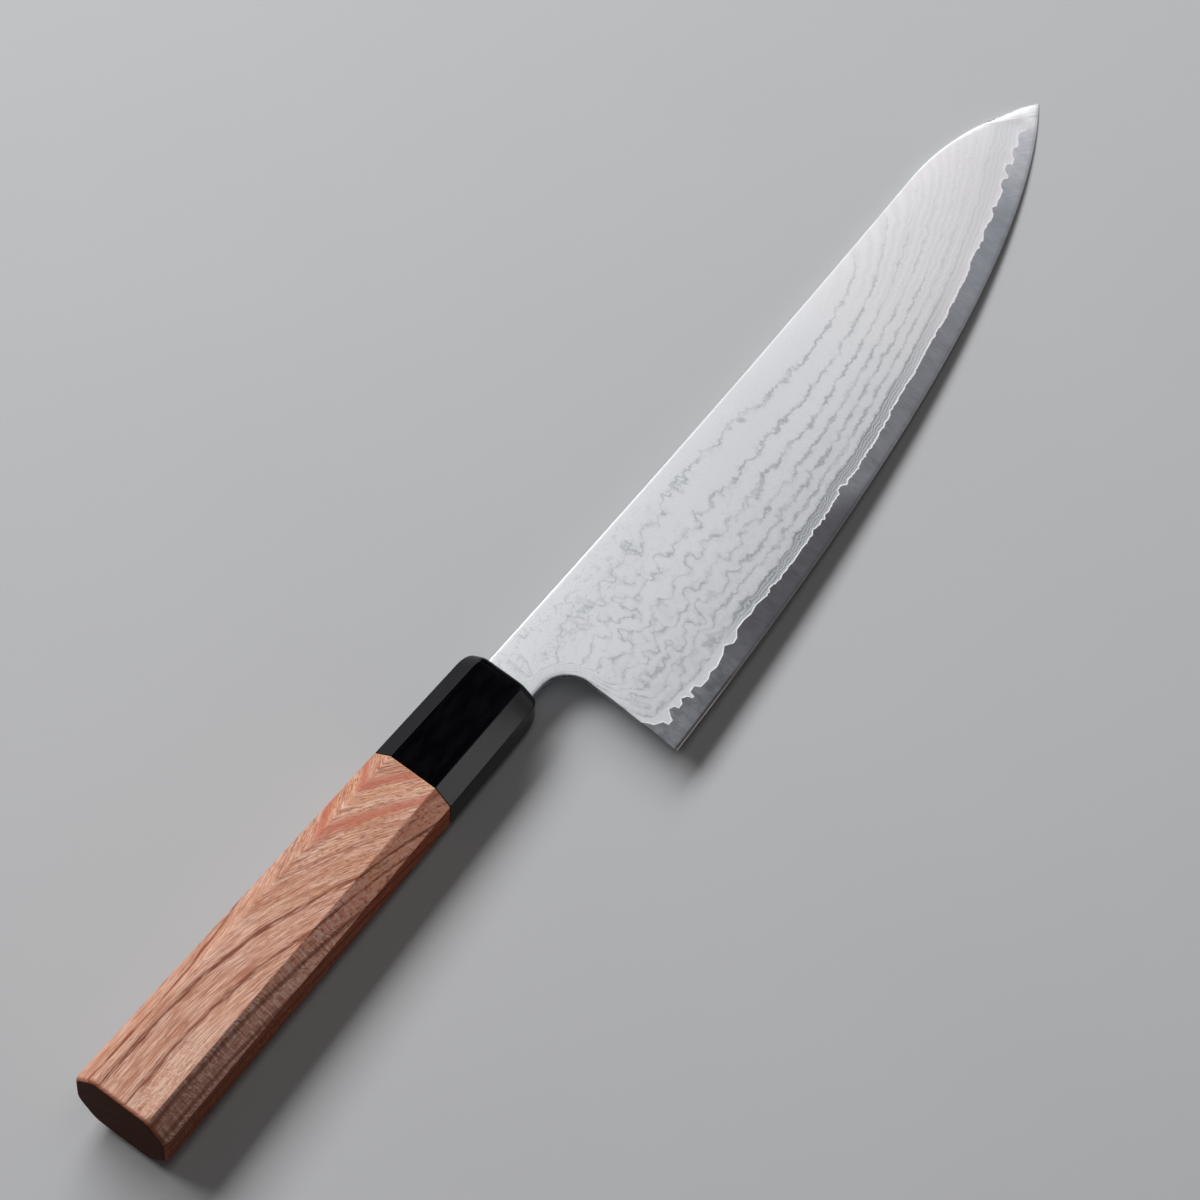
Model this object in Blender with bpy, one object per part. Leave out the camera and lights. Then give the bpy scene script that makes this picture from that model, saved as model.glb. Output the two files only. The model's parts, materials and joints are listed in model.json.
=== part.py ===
"""Gyuto: a chef's knife with a three-layer blade on a stick tang and an octagonal wooden handle.

Everything is drawn in the knife's own straight frame, in metres. X runs from the ferrule's face
towards the tip, +Y is the spine's side, -Y the cutting edge's side, and +Z the blade's right face.
The handle's axis is the line y = 0, z = 0. The whole knife is then parented to one empty, which
lays it down as it rests on a table: on the ferrule's lower front edge and on the tip.
"""

import math

import bmesh
import bpy
import numpy as np
from mathutils import Matrix, Vector
from mathutils.geometry import delaunay_2d_cdt

# Blade outline
EDGE_LENGTH = 0.1807  # heel to tip, in a straight line
HEEL_HEIGHT = 0.0442  # spine at the ferrule to heel
SPINE_ABOVE_AXIS = 0.0057  # at the ferrule
SPINE_RISE = 0.0005  # from the ferrule to where the spine starts to drop
SPINE_SAG = 0.0007  # halfway along that stretch
TIP_BELOW_SPINE = 0.0106  # from where the spine starts to drop
DROP_LENGTH = 0.0333  # the length over which the spine comes down to the tip
DROP_START_PULL = 0.0129  # how far the spine's curve keeps straight on where it starts
DROP_END_PULL = 0.0099
DROP_END_ANGLE = math.radians(34.8)
EDGE_HEEL_ANGLE = math.radians(2.9)
EDGE_HEEL_PULL = 0.0721  # how far the edge runs nearly flat from the heel
EDGE_TIP_ANGLE = math.radians(35.3)
EDGE_TIP_PULL = 0.0382
NECK_LENGTH = 0.0105  # ferrule's face to heel
NECK_HEIGHT = 0.0123
CHOIL_RADIUS = 0.0073  # the round corner between neck and heel
HEEL_BACK_LEAN = math.radians(2.3)  # towards the tip, going up from the heel

# Blade thickness
SPINE_AT_FERRULE = 0.0021
SPINE_AT_DROP = 0.0015
SPINE_AT_TIP = 0.0009
EDGE_THICKNESS = 0.00008
GRIND_CURVE = 1.6  # 1 is a flat wedge, more is a more convex face
CORE_BAND_AT_HEEL = 0.0056  # bare core steel above the edge
CORE_BAND_AT_TIP = 0.0042
CLADDING_LIP = 0.00003  # the cladding's thickness where it ends
WELD_LINE = 0.00002  # between the layers

# Tang
SHOULDER_DEPTH = 0.0030  # how far the neck goes into the ferrule
TANG_LENGTH = 0.085  # from the ferrule's face
TANG_HEIGHT = 0.0080
TANG_END_HEIGHT = 0.0050
TANG_END_THICKNESS = 0.0016

# Handle, an octagon that grows towards the butt
HANDLE_LENGTH = 0.1278
FERRULE_LENGTH = 0.0311
FRONT_WIDTH = 0.0191
FRONT_THICKNESS = 0.0152
FRONT_TOP_FLAT = 0.0112
FRONT_SIDE_FLAT = 0.0080
BUTT_WIDTH = 0.0243
BUTT_THICKNESS = 0.0198
BUTT_TOP_FLAT = 0.0147
BUTT_SIDE_FLAT = 0.0090
FRONT_ROUND_LENGTH = 0.0042  # the ferrule's softened front
FRONT_ROUND_DEPTH = 0.0014
BUTT_ROUND = 0.0010

# Joints inside the handle
GLUE_LINE = 0.0001
FERRULE_WALL = 0.0050  # in front of the ferrule's bore
NECK_CLEARANCE = 0.00015  # round the neck in the ferrule's slot
DOWEL_DIAMETER = 0.0120
DOWEL_PAST_SLOT = 0.0060  # solid wood behind the tang's slot
ADHESIVE_WALL = 0.0005  # round the tang
ADHESIVE_PAST_TANG = 0.0020
BORE_PAST_DOWEL = 0.0010

# Mesh fineness
OUTLINE_STEP = 0.004
ARC_STEPS = 8
GRID_ALONG = 0.007
GRID_ACROSS = 0.0045
GRID_MARGIN = 0.0012  # least distance of a grid point from the outline
BORE_SIDES = 48
CUT_OVERRUN = 0.001  # how far a cutter reaches past what it opens
SMOOTH_ANGLE = math.radians(25)

HALVINGS = 40  # of the search for the resting pitch
STEEPEST_PITCH = math.radians(20)


# Outline curves


def tip_x():
    """The tip's distance from the ferrule's face, from the edge's straight length."""
    rise = HEEL_HEIGHT + SPINE_RISE - TIP_BELOW_SPINE
    return NECK_LENGTH + math.sqrt(EDGE_LENGTH**2 - rise**2)


def drop_start_x():
    return tip_x() - DROP_LENGTH


def spine_line(x):
    """Height of the slightly sagging spine, held level past where it starts to drop."""
    share = min(x / drop_start_x(), 1)
    return SPINE_ABOVE_AXIS + SPINE_RISE * share - 4 * SPINE_SAG * share * (1 - share)


def heel():
    return Vector((NECK_LENGTH, SPINE_ABOVE_AXIS - HEEL_HEIGHT))


def tip():
    return Vector((tip_x(), SPINE_ABOVE_AXIS + SPINE_RISE - TIP_BELOW_SPINE))


def heel_back_x(y):
    """Where the blade's straight back end runs at a height above the heel."""
    return heel().x + (y - heel().y) * math.tan(HEEL_BACK_LEAN)


def bezier(start, pull_start, pull_end, end, steps):
    """Points of a cubic curve, both ends included."""
    points = []
    for i in range(steps + 1):
        t = i / steps
        points.append(
            (1 - t) ** 3 * start
            + 3 * (1 - t) ** 2 * t * pull_start
            + 3 * (1 - t) * t**2 * pull_end
            + t**3 * end
        )
    return points


def along(angle, length):
    return Vector((math.cos(angle), math.sin(angle))) * length


def edge_curve():
    """The cutting edge from heel to tip: nearly flat first, then the belly."""
    steps = round(EDGE_LENGTH / OUTLINE_STEP)
    leave = heel() + along(EDGE_HEEL_ANGLE, EDGE_HEEL_PULL)
    arrive = tip() - along(EDGE_TIP_ANGLE, EDGE_TIP_PULL)
    return bezier(heel(), leave, arrive, tip(), steps)


def spine_drop():
    """The spine's last stretch, down to the tip."""
    start = Vector((drop_start_x(), spine_line(drop_start_x())))
    slope = math.atan2(SPINE_RISE + 4 * SPINE_SAG, drop_start_x())
    leave = start + along(slope, DROP_START_PULL)
    arrive = tip() - along(-DROP_END_ANGLE, DROP_END_PULL)
    return bezier(start, leave, arrive, tip(), 2 * ARC_STEPS)


def choil():
    """The round corner under the neck, from the neck's lower side to the heel's back."""
    y = SPINE_ABOVE_AXIS - NECK_HEIGHT - CHOIL_RADIUS
    corner = Vector((heel_back_x(y) - CHOIL_RADIUS / math.cos(HEEL_BACK_LEAN), y))
    whole_turn = math.pi / 2 + HEEL_BACK_LEAN
    turns = [math.pi / 2 - whole_turn * i / ARC_STEPS for i in range(ARC_STEPS + 1)]
    return [corner + along(turn, CHOIL_RADIUS) for turn in turns]


def straight(start, end, step):
    """Evenly spaced points from start up to, but not including, end."""
    count = max(1, round((end - start).length / step))
    return [start.lerp(end, i / count) for i in range(count)]


def spine_run():
    """The spine from where it starts to drop back to, but not including, the ferrule's shoulder."""
    length = drop_start_x() + SHOULDER_DEPTH
    count = round(length / (2 * OUTLINE_STEP))
    stations = [drop_start_x() - length * i / count for i in range(count)]
    return [Vector((x, spine_line(x))) for x in stations]


def tang_and_neck():
    """The lower side of tang and neck up to the choil, and the upper side back to the tang's end."""
    neck_top = spine_line(-SHOULDER_DEPTH)
    neck_bottom = SPINE_ABOVE_AXIS - NECK_HEIGHT
    below = [
        Vector((-TANG_LENGTH, -TANG_END_HEIGHT / 2)),
        Vector((-SHOULDER_DEPTH, -TANG_HEIGHT / 2)),
        Vector((-SHOULDER_DEPTH, neck_bottom)),
    ]
    above = [
        Vector((-SHOULDER_DEPTH, neck_top)),
        Vector((-SHOULDER_DEPTH, TANG_HEIGHT / 2)),
        Vector((-TANG_LENGTH, TANG_END_HEIGHT / 2)),
    ]
    return below, above


def polyline_height(curve, x):
    """Height of a curve that runs towards +X, held level beyond its ends."""
    return float(np.interp(x, [p.x for p in curve], [p.y for p in curve]))


EDGE_CURVE = edge_curve()
SPINE_DROP = spine_drop()


def edge_height(x):
    return polyline_height(EDGE_CURVE, x)


# Blade thickness


def half_spine(x):
    """Half the thickness at the spine, which tapers towards the tip and the tang's end."""
    stations = [-TANG_LENGTH, 0, drop_start_x(), tip_x()]
    sizes = [TANG_END_THICKNESS, SPINE_AT_FERRULE, SPINE_AT_DROP, SPINE_AT_TIP]
    return float(np.interp(x, stations, sizes)) / 2


def half_blade(x, y):
    """Half the thickness at a point of the blade: convex from the edge up to the spine."""
    share = (y - edge_height(x)) / (spine_line(x) - edge_height(x))
    share = min(max(share, 0), 1)
    thin = EDGE_THICKNESS / 2
    return thin + (half_spine(x) - thin) * (1 - (1 - share) ** GRIND_CURVE)


def band_height(x):
    """Height of the line where the cladding ends and the core steel comes out."""
    share = (x - NECK_LENGTH) / (tip_x() - NECK_LENGTH)
    share = min(max(share, 0), 1)
    return edge_height(x) + CORE_BAND_AT_HEEL + share * (CORE_BAND_AT_TIP - CORE_BAND_AT_HEEL)


def half_core(x):
    """Half the core's thickness, which the grind lays bare at the band line."""
    return half_blade(x, band_height(x))


def band_line():
    """The band line from the heel's back to where it meets the dropping spine."""
    start_y = band_height(heel().x)
    points = [Vector((heel_back_x(start_y), start_y))]
    for place in EDGE_CURVE[1:]:
        height = band_height(place.x)
        if height < polyline_height(SPINE_DROP, place.x) - GRID_MARGIN:
            points.append(Vector((place.x, height)))
    return points + [band_end()]


def band_end():
    """Where the band line runs into the dropping spine."""
    for place in SPINE_DROP:
        if band_height(place.x) > place.y:
            return place
    return SPINE_DROP[-1]


# Solids


def material(name, colour, roughness, metallic=0.0):
    made = bpy.data.materials.new(name)
    made.use_nodes = True
    shader = made.node_tree.nodes["Principled BSDF"]
    shader.inputs["Base Color"].default_value = (*colour, 1)
    shader.inputs["Roughness"].default_value = roughness
    shader.inputs["Metallic"].default_value = metallic
    return made


def collection(name):
    made = bpy.data.collections.new(name)
    bpy.context.scene.collection.children.link(made)
    return made


def add_mesh(name, bm, group, finish=None):
    """A bmesh as an object in a collection."""
    mesh = bpy.data.meshes.new(name)
    bm.to_mesh(mesh)
    bm.free()
    made = bpy.data.objects.new(name, mesh)
    group.objects.link(made)
    if finish:
        mesh.materials.append(finish)
        mesh.shade_smooth()
        mesh.set_sharp_from_angle(angle=SMOOTH_ANGLE)
    return made


def inside(point, outline):
    """Whether a point lies within a closed outline."""
    found = False
    for a, b in zip(outline, outline[1:] + outline[:1]):
        if (a.y > point.y) != (b.y > point.y):
            if point.x < a.x + (point.y - a.y) / (b.y - a.y) * (b.x - a.x):
                found = not found
    return found


def clear_of(point, path):
    """Whether a point keeps the grid's margin from each stretch of a path."""
    for a, b in zip(path, path[1:]):
        run = b - a
        share = min(max((point - a).dot(run) / run.length_squared, 0), 1)
        if (a + run * share - point).length < GRID_MARGIN:
            return False
    return True


def grid_points(outline, crease):
    """Points spread inside an outline, clear of its sides and of the crease."""
    low = Vector((min(p.x for p in outline), min(p.y for p in outline)))
    high = Vector((max(p.x for p in outline), max(p.y for p in outline)))
    columns = round((high.x - low.x) / GRID_ALONG)
    rows = round((high.y - low.y) / GRID_ACROSS)
    points = []
    for i in range(1, columns):
        for j in range(1, rows):
            x = low.x + i * (high.x - low.x) / columns
            y = low.y + j * (high.y - low.y) / rows
            point = Vector((x, y))
            closed = outline + outline[:1]
            if inside(point, outline) and clear_of(point, closed) and clear_of(point, crease):
                points.append(point)
    return points


def plate(name, outline, crease, bottom, top, group, finish):
    """A closed plate over an outline, between two heights that depend on the place.

    The crease is a line inside the outline along which the faces may change direction.
    """
    points = outline + crease + grid_points(outline, crease)
    rim = [(i, (i + 1) % len(outline)) for i in range(len(outline))]
    fold = [(len(outline) + i, len(outline) + i + 1) for i in range(len(crease) - 1)]
    flat, _, faces, _, _, _ = delaunay_2d_cdt(points, rim + fold, [], 1, 1e-7)

    bm = bmesh.new()
    upper = [bm.verts.new((p.x, p.y, top(p.x, p.y))) for p in flat]
    lower = [bm.verts.new((p.x, p.y, bottom(p.x, p.y))) for p in flat]
    sides = set()
    for face in faces:
        bm.faces.new([upper[i] for i in face])
        bm.faces.new([lower[i] for i in reversed(face)])
        sides.update(zip(face, face[1:] + face[:1]))
    for a, b in sides:
        if (b, a) not in sides:
            bm.faces.new((upper[b], upper[a], lower[a], lower[b]))
    return add_mesh(name, bm, group, finish)


def octagon(x, inset=0.0):
    """The handle's section at x, drawn in by an inset, as eight points."""
    share = -x / HANDLE_LENGTH
    width = FRONT_WIDTH + share * (BUTT_WIDTH - FRONT_WIDTH) - 2 * inset
    thickness = FRONT_THICKNESS + share * (BUTT_THICKNESS - FRONT_THICKNESS) - 2 * inset
    corner_inset = 2 * inset * math.tan(math.pi / 8)
    top_flat = FRONT_TOP_FLAT + share * (BUTT_TOP_FLAT - FRONT_TOP_FLAT) - corner_inset
    side_flat = FRONT_SIDE_FLAT + share * (BUTT_SIDE_FLAT - FRONT_SIDE_FLAT) - corner_inset
    quarter = [(width / 2, side_flat / 2), (top_flat / 2, thickness / 2)]
    half = quarter + [(-y, z) for y, z in reversed(quarter)]
    return [Vector((x, y, z)) for y, z in half + [(-y, -z) for y, z in half]]


def loft(name, rings, group, finish=None):
    """A solid through closed rings of points that run towards -X, each seen anticlockwise from +X."""
    bm = bmesh.new()
    rows = [[bm.verts.new(p) for p in ring] for ring in rings]
    bm.faces.new(rows[0])
    bm.faces.new(reversed(rows[-1]))
    for front, back in zip(rows, rows[1:]):
        for i in range(len(front)):
            j = (i + 1) % len(front)
            bm.faces.new((front[j], front[i], back[i], back[j]))
    return add_mesh(name, bm, group, finish)


def rounded(start, length, depth, towards):
    """Octagon rings along a rounded end: full size where the rounding starts."""
    rings = []
    for i in range(ARC_STEPS + 1):
        turn = math.pi / 2 * i / ARC_STEPS
        x = start + towards * length * math.sin(turn)
        rings.append(octagon(x, depth * (1 - math.cos(turn))))
    return rings


def box(name, low, high, group):
    """An axis-aligned box between two corners, from a cube."""
    bm = bmesh.new()
    bmesh.ops.create_cube(bm, size=1)
    size = Vector(high) - Vector(low)
    bmesh.ops.scale(bm, vec=size, verts=bm.verts)
    bmesh.ops.translate(bm, vec=(Vector(low) + Vector(high)) / 2, verts=bm.verts)
    return add_mesh(name, bm, group)


def rod(name, front, back, diameter, group, finish=None):
    """A round bar on the handle's axis, from x = front back to x = back."""
    bm = bmesh.new()
    bmesh.ops.create_cone(
        bm,
        cap_ends=True,
        segments=BORE_SIDES,
        radius1=diameter / 2,
        radius2=diameter / 2,
        depth=front - back,
    )
    bmesh.ops.rotate(bm, matrix=Matrix.Rotation(math.pi / 2, 3, "Y"), verts=bm.verts)
    bmesh.ops.translate(bm, vec=((front + back) / 2, 0, 0), verts=bm.verts)
    return add_mesh(name, bm, group, finish)


def cut(piece, cutter):
    cutter.hide_render = True
    cutter.display_type = "WIRE"
    boolean = piece.modifiers.new("Cut by " + cutter.name, "BOOLEAN")
    boolean.operation = "DIFFERENCE"
    boolean.object = cutter


# Blade pieces


def core_steel(group, finish):
    """The hard core layer: the whole outline with the tang, bare along the edge."""
    below, above = tang_and_neck()
    back = straight(choil()[-1], heel(), OUTLINE_STEP)
    drop = SPINE_DROP[:0:-1]
    outline = below + choil()[:-1] + back + EDGE_CURVE[:-1] + drop + spine_run() + above

    def top(x, y):
        return min(half_blade(x, y), half_core(x))

    return plate("core_steel", outline, band_line()[1:-1], lambda x, y: -top(x, y), top, group, finish)


def cladding(name, side, group, finish):
    """One outer layer, on the right face (side 1) or the left face (side -1)."""
    below, above = tang_and_neck()
    band = band_line()
    back = straight(choil()[-1], band[0], OUTLINE_STEP)
    drop = [p for p in SPINE_DROP if p.x < band[-1].x][:0:-1]
    outline = below + choil()[:-1] + back + band + drop + spine_run() + above

    def inner(x, y):
        return half_core(x) + WELD_LINE

    def outer(x, y):
        return max(half_blade(x, y), inner(x, y) + CLADDING_LIP)

    if side > 0:
        return plate(name, outline, [], inner, outer, group, finish)
    return plate(
        name, outline, [], lambda x, y: -outer(x, y), lambda x, y: -inner(x, y), group, finish
    )


# Handle pieces


def adhesive_end_x():
    return -TANG_LENGTH - ADHESIVE_PAST_TANG


def dowel_end_x():
    """The dowel's rear end in the grip, behind the slot that takes tang and adhesive."""
    return adhesive_end_x() - GLUE_LINE - DOWEL_PAST_SLOT


def ferrule(group, cutters, finish):
    """The black front of the handle, bored from behind, with a slot for the neck."""
    front = rounded(-FRONT_ROUND_LENGTH, FRONT_ROUND_LENGTH, FRONT_ROUND_DEPTH, 1)
    piece = loft("ferrule", front[::-1] + [octagon(-FERRULE_LENGTH)], group, finish)
    bore = rod(
        "ferrule_bore",
        -FERRULE_WALL,
        -FERRULE_LENGTH - CUT_OVERRUN,
        DOWEL_DIAMETER + 2 * GLUE_LINE,
        cutters,
    )
    half_slot = half_spine(0) + NECK_CLEARANCE
    slot = box(
        "neck_slot",
        (-FERRULE_WALL - CUT_OVERRUN, SPINE_ABOVE_AXIS - NECK_HEIGHT - NECK_CLEARANCE, -half_slot),
        (CUT_OVERRUN, SPINE_ABOVE_AXIS + NECK_CLEARANCE, half_slot),
        cutters,
    )
    cut(piece, bore)
    cut(piece, slot)
    return piece


def handle_body(group, cutters, finish):
    """The wooden grip, with a blind bore for the dowel."""
    front_x = -FERRULE_LENGTH - GLUE_LINE
    butt = rounded(-HANDLE_LENGTH + BUTT_ROUND, BUTT_ROUND, BUTT_ROUND, -1)
    piece = loft("handle_body", [octagon(front_x)] + butt, group, finish)
    bore = rod(
        "body_bore",
        front_x + CUT_OVERRUN,
        dowel_end_x() - BORE_PAST_DOWEL,
        DOWEL_DIAMETER + 2 * GLUE_LINE,
        cutters,
    )
    cut(piece, bore)
    return piece


def slot_size():
    """Half width and half height of the dowel's slot: the tang, the adhesive and its bond lines."""
    around = ADHESIVE_WALL + 2 * GLUE_LINE
    return half_spine(-SHOULDER_DEPTH) + around, TANG_HEIGHT / 2 + around


def dowel(group, cutters, finish):
    """The wooden dowel that joins ferrule and body, slotted for the tang."""
    front_x = -FERRULE_WALL - GLUE_LINE
    piece = rod("dowel", front_x, dowel_end_x(), DOWEL_DIAMETER, group, finish)
    half_width, half_height = slot_size()
    slot = box(
        "tang_slot",
        (adhesive_end_x() - GLUE_LINE, -half_height, -half_width),
        (front_x + CUT_OVERRUN, half_height, half_width),
        cutters,
    )
    cut(piece, slot)
    return piece


def tang_adhesive(group, cutters, finish):
    """The adhesive that fills the dowel's slot round the tang."""
    half_width, half_height = slot_size()
    front_x = -FERRULE_WALL - GLUE_LINE
    piece = box(
        "tang_adhesive",
        (adhesive_end_x(), -half_height + GLUE_LINE, -half_width + GLUE_LINE),
        (front_x, half_height - GLUE_LINE, half_width - GLUE_LINE),
        group,
    )
    piece.data.materials.append(finish)
    rings = []
    for x, height in ((-SHOULDER_DEPTH, TANG_HEIGHT), (-TANG_LENGTH - GLUE_LINE, TANG_END_HEIGHT)):
        y = height / 2 + GLUE_LINE
        z = half_spine(x) + GLUE_LINE
        rings.append([Vector((x, y, -z)), Vector((x, y, z)), Vector((x, -y, z)), Vector((x, -y, -z))])
    cut(piece, loft("tang_room", rings, cutters))
    return piece


# Resting pose


def knife_points(pieces):
    """Every corner of the finished pieces in the knife's straight frame."""
    graph = bpy.context.evaluated_depsgraph_get()
    points = []
    for piece in pieces:
        mesh = piece.evaluated_get(graph).data
        points += [tuple(v.co) for v in mesh.vertices]
    return np.array(points)


def lowest(points, pitch):
    """The lowest height of some points once the knife is pitched nose down."""
    return float((points[:, 2] * math.cos(pitch) - points[:, 0] * math.sin(pitch)).min())


def resting_pitch(points):
    """The pitch at which handle and blade touch the table together."""
    blade = points[points[:, 0] > 0]
    handle = points[points[:, 0] <= 0]
    level, steep = 0.0, STEEPEST_PITCH
    for _ in range(HALVINGS):
        middle = (level + steep) / 2
        if lowest(blade, middle) > lowest(handle, middle):
            level = middle
        else:
            steep = middle
    return level


def lay_down(pieces, cutters):
    """Hang everything under an empty that stands the resting knife on the origin's plane."""
    points = knife_points(pieces)
    pitch = resting_pitch(points)
    turned_x = points[:, 0] * math.cos(pitch) + points[:, 2] * math.sin(pitch)
    middle_x = (turned_x.min() + turned_x.max()) / 2
    middle_y = (points[:, 1].min() + points[:, 1].max()) / 2
    rest = bpy.data.objects.new("rest_pose", None)
    bpy.context.scene.collection.objects.link(rest)
    rest.rotation_euler = (0, pitch, 0)
    rest.location = (-middle_x, -middle_y, -lowest(points, pitch))
    for placed in pieces + list(cutters.objects):
        placed.parent = rest


def main():
    for old in list(bpy.data.objects):
        bpy.data.objects.remove(old)
    group = collection("gyuto_knife")
    cutters = collection("cutters")

    core = material("core_steel", (0.17, 0.17, 0.18), 0.32, 1.0)
    damascus = material("damascus_steel", (0.62, 0.63, 0.64), 0.38, 1.0)
    horn = material("black_horn", (0.008, 0.008, 0.010), 0.22)
    wood = material("handle_wood", (0.45, 0.19, 0.11), 0.45)
    dowel_wood = material("dowel_wood", (0.60, 0.45, 0.28), 0.6)
    resin = material("adhesive", (0.55, 0.45, 0.25), 0.4)

    pieces = [
        core_steel(group, core),
        cladding("right_cladding", 1, group, damascus),
        cladding("left_cladding", -1, group, damascus),
        ferrule(group, cutters, horn),
        handle_body(group, cutters, wood),
        dowel(group, cutters, dowel_wood),
        tang_adhesive(group, cutters, resin),
    ]
    bpy.context.view_layer.update()
    lay_down(pieces, cutters)


main()
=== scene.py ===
"""The gyuto knife's looks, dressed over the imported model.

Pieces are worked out in the knife's own straight frame, in metres: X runs from the ferrule's face
towards the tip, +Y is the spine's side and +Z the blade's right face. They are then laid where
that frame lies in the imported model, and the materials turn their coordinates back into it.
"""

import json
import math

import bpy
import numpy as np
from mathutils import Matrix, Vector
from mathutils.geometry import delaunay_2d_cdt
from mathutils.kdtree import KDTree

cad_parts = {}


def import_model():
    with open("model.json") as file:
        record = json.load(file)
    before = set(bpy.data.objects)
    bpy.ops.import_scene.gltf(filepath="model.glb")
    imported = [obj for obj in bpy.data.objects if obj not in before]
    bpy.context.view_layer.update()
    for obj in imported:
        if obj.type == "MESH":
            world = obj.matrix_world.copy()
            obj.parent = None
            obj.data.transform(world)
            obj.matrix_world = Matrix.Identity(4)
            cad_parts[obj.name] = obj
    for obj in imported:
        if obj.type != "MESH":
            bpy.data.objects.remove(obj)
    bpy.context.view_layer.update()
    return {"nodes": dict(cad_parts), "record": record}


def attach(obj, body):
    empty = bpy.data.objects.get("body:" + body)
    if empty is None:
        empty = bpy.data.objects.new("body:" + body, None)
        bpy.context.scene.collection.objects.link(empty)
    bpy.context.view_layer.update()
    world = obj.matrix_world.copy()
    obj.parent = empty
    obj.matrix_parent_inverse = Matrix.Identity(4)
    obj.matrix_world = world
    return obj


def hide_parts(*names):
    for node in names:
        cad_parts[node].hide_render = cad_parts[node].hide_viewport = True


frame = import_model()

MM = 0.001

# Blade outline: the curves between the heel and the tip, which come from the frame
SPINE_ABOVE_AXIS = 5.7 * MM  # at the ferrule
SPINE_RISE = 0.5 * MM
SPINE_SAG = 0.7 * MM
DROP_LENGTH = 33.3 * MM
DROP_START_PULL = 12.9 * MM
DROP_END_PULL = 9.9 * MM
DROP_END_ANGLE = math.radians(34.8)
EDGE_HEEL_ANGLE = math.radians(2.9)
EDGE_HEEL_PULL = 72.1 * MM
EDGE_TIP_ANGLE = math.radians(35.3)
EDGE_TIP_PULL = 38.2 * MM
NECK_HEIGHT = 12.3 * MM
CHOIL_RADIUS = 7.3 * MM
HEEL_BACK_LEAN = math.radians(2.3)

# Blade thickness
SPINE_AT_FERRULE = 2.1 * MM
SPINE_AT_DROP = 1.5 * MM
SPINE_AT_TIP = 0.9 * MM
EDGE_THICKNESS = 0.08 * MM
GRIND_CURVE = 1.6
BEVEL_HEIGHT = 0.6 * MM  # the ground cutting edge
BEVEL_EDGE = 0.012 * MM  # its half thickness at the very edge
LOWEST_CLAD_LINE = 3.4 * MM  # the core's hidden faces are as thick as the blade is at this height
CORE_SINK = 0.2  # how steeply the core's face leaves the blade's face under the cladding
WELD_LINE = 0.008 * MM
CLADDING_LIP = 0.02 * MM
LIP_WIDTH = 1 * MM
LIP_END = 3 * MM  # from the spine, where the lip starts to fade out
EASE_STATIONS = (0, 60, 110, 152, 166, 174, 178, 184)  # mm along the blade
SOFT_WIDTHS = (0.7, 0.6, 0.5, 0.4, 0.7, 1.2, 1.6, 2.2)  # mm, the wide part of the spine's eased corners
SOFT_DEPTHS = (0.018, 0.012, 0.008, 0.004, 0.016, 0.045, 0.065, 0.085)  # mm
SHARP_WIDTH = 0.09 * MM  # their narrow part
SHARP_DEPTHS = (0.02, 0.01, 0.004, 0.003, 0.005, 0.006, 0.006, 0.006)  # mm
BACK_EASE = 0.14 * MM  # the same along choil and heel
BACK_FALL = 0.03 * MM  # the face falls away towards choil and heel
BACK_FALL_WIDTH = 1.6 * MM
MOST_EASED = 0.55  # of the half thickness

# Tang
SHOULDER_DEPTH = 3 * MM
TANG_LENGTH = 85 * MM
TANG_HEIGHT = 8 * MM
TANG_END_HEIGHT = 5 * MM
TANG_END_THICKNESS = 1.6 * MM

# The line where the layered cladding ends, as places along the blade and heights above the edge in mm
HEEL_LINE = (
    (10.9, 10), (11.7, 8.6), (12.1, 7.4), (13.9, 6.2), (14.15, 4.9), (15.6, 4.8), (16, 5.7),
    (17.1, 6.9), (18.35, 6.3), (18.5, 5.3), (19.9, 5.3), (20.7, 6.2), (21.9, 5.4), (22.3, 4.3),
    (22.9, 4.2), (23.2, 5.5), (24.8, 5.6), (25.5, 4.3), (28, 4), (29.5, 4.6), (31.5, 4.1),
    (34.6, 4.7), (36.4, 5.6), (38.2, 4.3), (39.6, 4.4), (41.2, 5.5), (44, 5.5), (46, 5),
    (48.5, 5.3), (51.5, 4.7),
)
MIDDLE_LINE = ((62, 4.15), (72, 4.35), (81, 4.25), (81.8, 5), (83, 4.9), (83.8, 4.25),
               (97, 4.15), (103.4, 4.3), (104.2, 4.75), (115, 4.7), (127, 4.9), (128.2, 4.5),
               (140, 4.75), (150, 4.7))
TIP_LINE = ((163, 4.6), (172, 4.1), (176.6, 3.9))
TIP_CURL = ((177.2, -6.5), (177.9, -5.9), (178.8, -5.6), (179.6, -5.9), (180.4, -6.5), (181.3, -6.4),
            (182.1, -5.7), (182.5, -4.6), (182.2, -3.8), (181.4, -3.1), (180.4, -2.1), (178.9, -1),
            (177.3, 0.2), (176, 1.5))  # in mm, back along the spine
TIP_TEETH = ((147.3, 5.2, 0.5), (154.2, 4.4, 0.5), (159.5, 2, 0.75), (166.2, 3, 1),
             (169.9, 2.8, 1.4), (174.3, 2.9, 0.9))  # place, width and height in mm
LINE_FROM = 51.6  # mm along the blade, where even steps follow the heel's points
LINE_TOLERANCE = 0.0001 * MM
NOTCH_SPAN = 4 * MM  # the layers ignore notches shorter than this
NOTCH_STRIDE = 20  # points of the line from one smoothed height to the next
RIPPLE_SEED = 11
RIPPLE_SPAN = (50, 162)  # mm
RIPPLE_SIZES = ((90, 0.6, 2.8, 0.24), (200, 0.35, 0.9, 0.13))  # count, widths from and to, and height

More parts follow.
